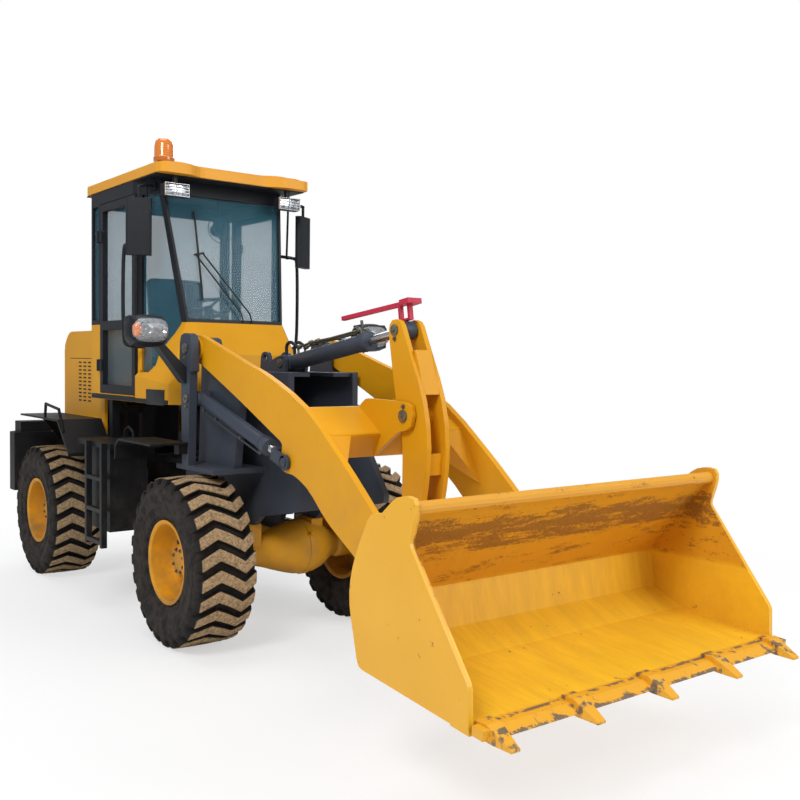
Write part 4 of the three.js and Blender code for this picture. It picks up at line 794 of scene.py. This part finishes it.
# ---- beacon ----
# A moulded, ribbed amber dome over a darker foot. It is spun as one closed shape and stands on
# the roof.
amber = Finish("amber_dome", Roughness=0.15, Coat_Weight=0.5)
beacon_low, beacon_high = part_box("beacon")
dome_z = amber.xyz()[2]
foot_mask = dome_z.below(beacon_low.z + 0.03, 0.002)
ribs = (dome_z * 420.0).waves() * 0.5 + 0.5
dome_colour = amber.mix(ribs * 0.5, tone("C96A14"), tone("DE8F3A"))
amber.feed("Base Color", amber.mix(foot_mask, dome_colour, tone("B86A20")))
beacon_centre = (beacon_low + beacon_high) / 2
dome_profile = [
    (0.0, 0.0), (0.071, 0.0), (0.072, 0.006), (0.073, 0.028), (0.068, 0.033), (0.067, 0.036),
    (0.066, 0.110), (0.060, 0.140), (0.044, 0.158), (0.022, 0.1665), (0.0, 0.168),
]
dome = turned(dome_profile, 48, (0, 0, 0))
dome_foot = Matrix.Translation((beacon_centre.x, beacon_centre.y, beacon_low.z))
dome.data.transform(dome_foot @ Matrix.Rotation(math.pi / 2, 4, "X"))
settle(dome, "beacon_dome", "rear_body", amber.material, 40)
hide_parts("beacon")

# ---- head lamps ----
# A black moulded shell with a clear lens over three chromed reflectors and an amber indicator. One
# is carried on each side of the front frame.
lens_clear = Finish("lamp_lens", Roughness=0.05, IOR=1.45, Coat_Weight=0.6)
flutes = lens_clear.cells(60.0)
lens_clear.feed("Base Color", lens_clear.mix(flutes.above(0.4, 0.3), tone("E9EDF0"), tone("A9B0B8")))
lens_clear.feed("Alpha", 0.35 + flutes.above(0.5, 0.2) * 0.12)
reflector = Finish("lamp_reflector", Metallic=1.0, Roughness=0.18)
facets = reflector.cells(38.0).above(0.45, 0.25)
reflector.feed("Base Color", reflector.mix(facets, tone("F2F3F5"), tone("8E949C")))
amber_lens = Finish("indicator_lens", Roughness=0.12, Coat_Weight=0.5)
amber_lens.feed("Base Color", amber_lens.mix(amber_lens.cells(70.0), tone("C4683A"), tone("E3A07C")))


def pebble(centre, half, power, cut=None):
    """A rounded, cushion-like solid, shaped from a sphere."""
    deselect()
    bpy.ops.mesh.primitive_uv_sphere_add(segments=48, ring_count=24, radius=1)
    obj = bpy.context.object
    for vertex in obj.data.vertices:
        spread = [math.copysign(abs(c) ** power, c) for c in vertex.co]
        if cut is not None:
            spread[0] = min(spread[0], cut)
        vertex.co = [centre[i] + spread[i] * half[i] for i in range(3)]
    return obj


for side, sign in SIDES.items():
    lamp_x, lamp_y, lamp_z = front_x - 0.200, sign * 0.873, 1.992
    shell = pebble((lamp_x, lamp_y, lamp_z), (0.094, 0.137, 0.104), 0.72)
    settle(shell, f"lamp_shell_{side}", "front_body", satin_black, 60)
    lens = pebble((lamp_x + 0.022, lamp_y, lamp_z + 0.004), (0.092, 0.123, 0.082), 0.66)
    settle(lens, f"lamp_lens_{side}", "front_body", lens_clear.material, 60)
    bowls = []
    for dy, dz, radius in ((-0.048, 0.010, 0.046), (0.050, 0.012, 0.044), (0.060, -0.032, 0.022)):
        dish = [
            (0.0, -0.004), (radius * 0.35, -0.002), (radius * 0.8, 0.010), (radius, 0.024),
            (radius * 1.06, 0.024), (radius * 0.85, 0.004), (radius * 0.4, -0.010), (0.0, -0.012),
        ]
        bowl = turned(dish, 32, (0, 0, 0))
        spot = (lamp_x + 0.084, lamp_y + dy, lamp_z + dz)
        bowl.data.transform(Matrix.Translation(spot) @ Matrix.Rotation(-math.pi / 2, 4, "Z"))
        bowls.append(bowl)
        bulb_back, bulb_front = (spot[0] - 0.004, spot[1], spot[2]), (spot[0] + 0.016, spot[1], spot[2])
        bowls.append(drum(bulb_back, bulb_front, 0.008, 0.002, 16))
    settle(joined(bowls), f"lamp_bowls_{side}", "front_body", reflector.material, 40)
    blink = pebble((lamp_x + 0.076, lamp_y + sign * 0.092, lamp_z + 0.004), (0.030, 0.030, 0.046), 0.8)
    settle(blink, f"lamp_indicator_{side}", "front_body", amber_lens.material, 60)

# ---- work lamps under the roof ----
# Flat lamps in black cases, with bright lenses behind wire guards, hung from the front corners of
# the roof. A dark lining covers the underside of the roof.
GUARD_WIRE = 0.0028
for side, sign in SIDES.items():
    x0, x1, y = front_x - 0.735, front_x - 0.665, sign * 0.455
    case = block((x0 - 0.003, y - 0.093, 2.947), (x1 + 0.001, y + 0.093, 3.038), 0.008, 3)
    hanger = block((front_x - 0.714, y - 0.017, 3.030), (front_x - 0.686, y + 0.017, 3.099), 0.003)
    settle(joined([case, hanger]), f"work_lamp_case_{side}", "rear_body", satin_black, 40)
    glass = block((x1 - 0.004, y - 0.084, 2.956), (x1 + 0.005, y + 0.084, 3.029), 0.004)
    settle(glass, f"work_lamp_lens_{side}", "rear_body", reflector.material, 40)
    guard = []
    for z in (2.950, 2.974, 2.992, 3.011, 3.035):
        bar = [(0.004, -0.089), (0.013, -0.084), (0.013, 0.084), (0.004, 0.089)]
        guard.append(pipe([(x1 + dx, y + dy, z) for dx, dy in bar], GUARD_WIRE, False))
    for dy in (-0.088, 0.0, 0.088):
        guard.append(pipe([(x1 + 0.010, y + dy, 2.948), (x1 + 0.010, y + dy, 3.037)], GUARD_WIRE, False))
    settle(joined(guard), f"work_lamp_guard_{side}", "rear_body", chrome.material, 40)
lining = block((front_x - 2.030, -0.597, 3.0925), (front_x - 0.690, 0.597, 3.0998), 0.002)
settle(lining, "roof_lining", "rear_body", satin_black, 40)

# ---- engine hood trim ----
# Thin dark strips paint the shade inside the rows of pressed air slots in the side panels, and in the
# folded seam above them: painted shade.
hood_low, hood_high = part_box("engine_hood")
slots = []
for sign in (-1, 1):
    face = sign * hood_high.y
    for column in range(3):
        for row in range(11):
            x = hood_low.x + 0.36 + column * 0.11
            z = hood_low.z + 0.30 + row * 0.032
            low, high = (x, face - sign * 0.002, z), (x + 0.062, face + sign * 0.0022, z + 0.012)
            slots.append(block(low, high, 0.0009, 1))
    low = (hood_low.x + 0.15, face - sign * 0.002, 1.808)
    high = (hood_high.x - 0.02, face + sign * 0.0016, 1.813)
    slots.append(block(low, high, 0.0007, 1))
settle(joined(slots), "hood_air_slots", "hood_body", slot_black.material, 30)

# ---- cab trim ----
# A twin-arm wiper, a fan behind the screen, blank plates, rubber sills, grab bars and door handles.
# All are fixed to the cab, apart from the handles, which move with the doors.
rubber = Finish("rubber_seal", Roughness=0.75)
rubber.feed("Base Color", rubber.mix(rubber.noise(50.0, 3.0), tone("131416"), tone("232426")))
screen_low, screen_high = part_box("windscreen")
lean = Vector((screen_low.x + 0.006 - screen_high.x, 0, screen_high.z - screen_low.z)).normalized()
pane_out = Vector((lean.z, 0, -lean.x)).normalized()


def on_screen(y, up, out=0.012):
    return Vector((screen_high.x, y, screen_low.z)) + lean * up + pane_out * out


wiper = []
for foot, tip in ((0.06, (-0.27, 0.47)), (0.13, (-0.22, 0.49))):
    route = [on_screen(foot, -0.03, 0.030), on_screen(foot - 0.02, 0.05, 0.036), on_screen(*tip, 0.024)]
    wiper.append(pipe(route, 0.006, False))
    wiper.append(drum(on_screen(foot, -0.03, -0.02), on_screen(foot, -0.03, 0.042), 0.017))
wiper.append(pipe([on_screen(-0.285, 0.47, 0.022), on_screen(-0.205, 0.49, 0.022)], 0.007, False))
wiper.append(pipe([on_screen(-0.245, 0.14, 0.014), on_screen(-0.250, 0.80, 0.014)], 0.007, False))
wiper.append(pipe([on_screen(-0.245, 0.22, 0.022), on_screen(-0.250, 0.72, 0.022)], 0.004, False))
settle(joined(wiper), "screen_wiper", "rear_body", rubber.material, 30)
plate_blank = Finish("blank_plate", Roughness=0.45, Metallic=0.2)
plate_blank.feed("Base Color", plate_blank.mix(plate_blank.noise(14.0, 3.0), tone("17181B"), tone("26282C")))
# the nose's side panel narrows forward from the door post
NOSE_REAR, NOSE_FRONT, NOSE_SLOPE = front_x - 1.046, front_x - 0.565, 0.0823


def on_nose_side(obj, sign):
    """Leans a piece made on the plane of the door onto the nose's side panel."""
    for vertex in obj.data.vertices:
        vertex.co.y -= sign * NOSE_SLOPE * (vertex.co.x - NOSE_REAR)
    return obj


for side, sign in SIDES.items():
    plate = block((front_x - 0.870, sign * 0.600, 1.492), (front_x - 0.615, sign * 0.606, 1.600), 0.0015)
    screws = [
        drum((x, sign * 0.605, z), (x, sign * 0.609, z), 0.006, 0.001, 12)
        for x in (front_x - 0.858, front_x - 0.627)
        for z in (1.502, 1.590)
    ]
    plate, screws = on_nose_side(plate, sign), on_nose_side(joined(screws), sign)
    settle(plate, f"blank_plate_{side}", "rear_body", plate_blank.material, 30)
    settle(screws, f"plate_screws_{side}", "rear_body", grey_steel.material, 30)
    sill = block((front_x - 1.900, sign * 0.598, 1.502), (NOSE_REAR, sign * 0.606, 1.538), 0.002)
    lower_sill = block((NOSE_REAR, sign * 0.598, 1.502), (NOSE_FRONT, sign * 0.605, 1.530), 0.002)
    sill = joined([sill, on_nose_side(lower_sill, sign)])
    settle(sill, f"cab_sill_{side}", "rear_body", rubber.material, 30)
    reach = [(0.560, 2.63), (0.690, 2.63), (0.720, 2.60), (0.720, 1.95), (0.690, 1.90), (0.560, 1.90)]
    bar = pipe([(front_x - 0.970, sign * y, z) for y, z in reach], 0.013)
    settle(bar, f"grab_bar_{side}", "rear_body", satin_black, 60)

# a small fan that hangs inside the screen, to clear mist from it
fan_hub = Vector((front_x - 0.850, -0.023, 2.780))
fan_pieces = [
    drum(fan_hub - Vector((0.060, 0, 0)), fan_hub, 0.034, 0.006, 24),
    drum(fan_hub - Vector((0.035, 0, 0)), fan_hub + Vector((-0.035, 0, 0.20)), 0.006, 0.001, 12),
]
for ring in (0.105, 0.070):
    rim_points = [
        fan_hub + Vector((0.012, ring * math.cos(math.tau * i / 24), ring * math.sin(math.tau * i / 24)))
        for i in range(25)
    ]
    fan_pieces.append(pipe(rim_points, 0.003, False))
for i in range(6):
    out = Vector((0, math.cos(math.tau * i / 6), math.sin(math.tau * i / 6)))
    spoke_foot = fan_hub + Vector((0.012, 0, 0))
    fan_pieces.append(pipe([spoke_foot, spoke_foot + out * 0.105], 0.002, False))
for i in range(4):
    out = Vector((0, math.cos(math.tau * i / 4 + 0.4), math.sin(math.tau * i / 4 + 0.4)))
    tip = fan_hub + out * 0.088
    blade_back = tip - out * 0.045 - Vector((0.006, 0, 0))
    blade_front = tip - out * 0.045 - Vector((0.003, 0, 0))
    fan_pieces.append(drum(blade_back, blade_front, 0.042, 0.001, 24))
settle(joined(fan_pieces), "cab_fan", "rear_body", rubber.material, 40)
for side, sign in SIDES.items():
    low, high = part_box(f"cab_door_{side}")
    grip = [
        block((high.x - 0.125, sign * 0.600, 2.045), (high.x - 0.045, sign * 0.612, 2.085), 0.004),
        drum((high.x - 0.060, sign * 0.606, 2.065), (high.x - 0.060, sign * 0.620, 2.065), 0.014),
    ]
    settle(joined(grip), f"door_handle_{side}", f"door_{side}_body", rubber.material, 30)

# ---- driver's seat ----
# Two foam cushions in woven cloth, one to sit on and one for the back. Each is a rounded block,
# pulled in at its corners and along two seams.
cloth = Finish("seat_cloth", Roughness=0.9, Sheen_Weight=0.3)
weave = (cloth.xyz()[0] * 900.0).waves() * (cloth.xyz()[1] * 900.0).waves()
cloth.feed("Base Color", cloth.mix(weave.above(0.0, 0.6), tone("1A1B1D"), tone("2C2D30")))
cloth.bump(weave, 0.2, 0.001)
seat_low, seat_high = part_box("driver_seat")


def cushion(low, high):
    pad = block(low, high, 0.035, 3)
    deselect()
    pad.select_set(True)
    bpy.context.view_layer.objects.active = pad
    bpy.ops.object.mode_set(mode="EDIT")
    bpy.ops.mesh.select_all(action="SELECT")
    bpy.ops.mesh.subdivide(number_cuts=2)
    bpy.ops.object.mode_set(mode="OBJECT")
    middle = (Vector(low) + Vector(high)) / 2
    half = (Vector(high) - Vector(low)) / 2
    for vertex in pad.data.vertices:
        off = Vector([(vertex.co[i] - middle[i]) / half[i] for i in range(3)])
        pull = 1 - 0.05 * (off.x**2 + off.y**2) * 0.5
        vertex.co = middle + (vertex.co - middle) * pull
        for seam in (-0.4, 0.4):
            if abs(off.y - seam) < 0.08:
                vertex.co = middle + (vertex.co - middle) * 0.975
    return pad


SEAT_HALF = 0.235
squab_low = (seat_low.x + 0.12, -SEAT_HALF, seat_low.z + 0.005)
squab_high = (seat_high.x - 0.005, SEAT_HALF, seat_low.z + 0.105)
squab = cushion(squab_low, squab_high)
settle(squab, "seat_squab", "rear_body", cloth.material, 60)
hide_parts("driver_seat")
rest = cushion((-0.055, -SEAT_HALF, 0.0), (0.055, SEAT_HALF, 0.55))
rest_foot = Matrix.Translation((seat_low.x + 0.155, 0, seat_low.z + 0.085))
rest.data.transform(rest_foot @ Matrix.Rotation(math.radians(-9), 4, "Y"))
settle(rest, "seat_back", "rear_body", cloth.material, 60)
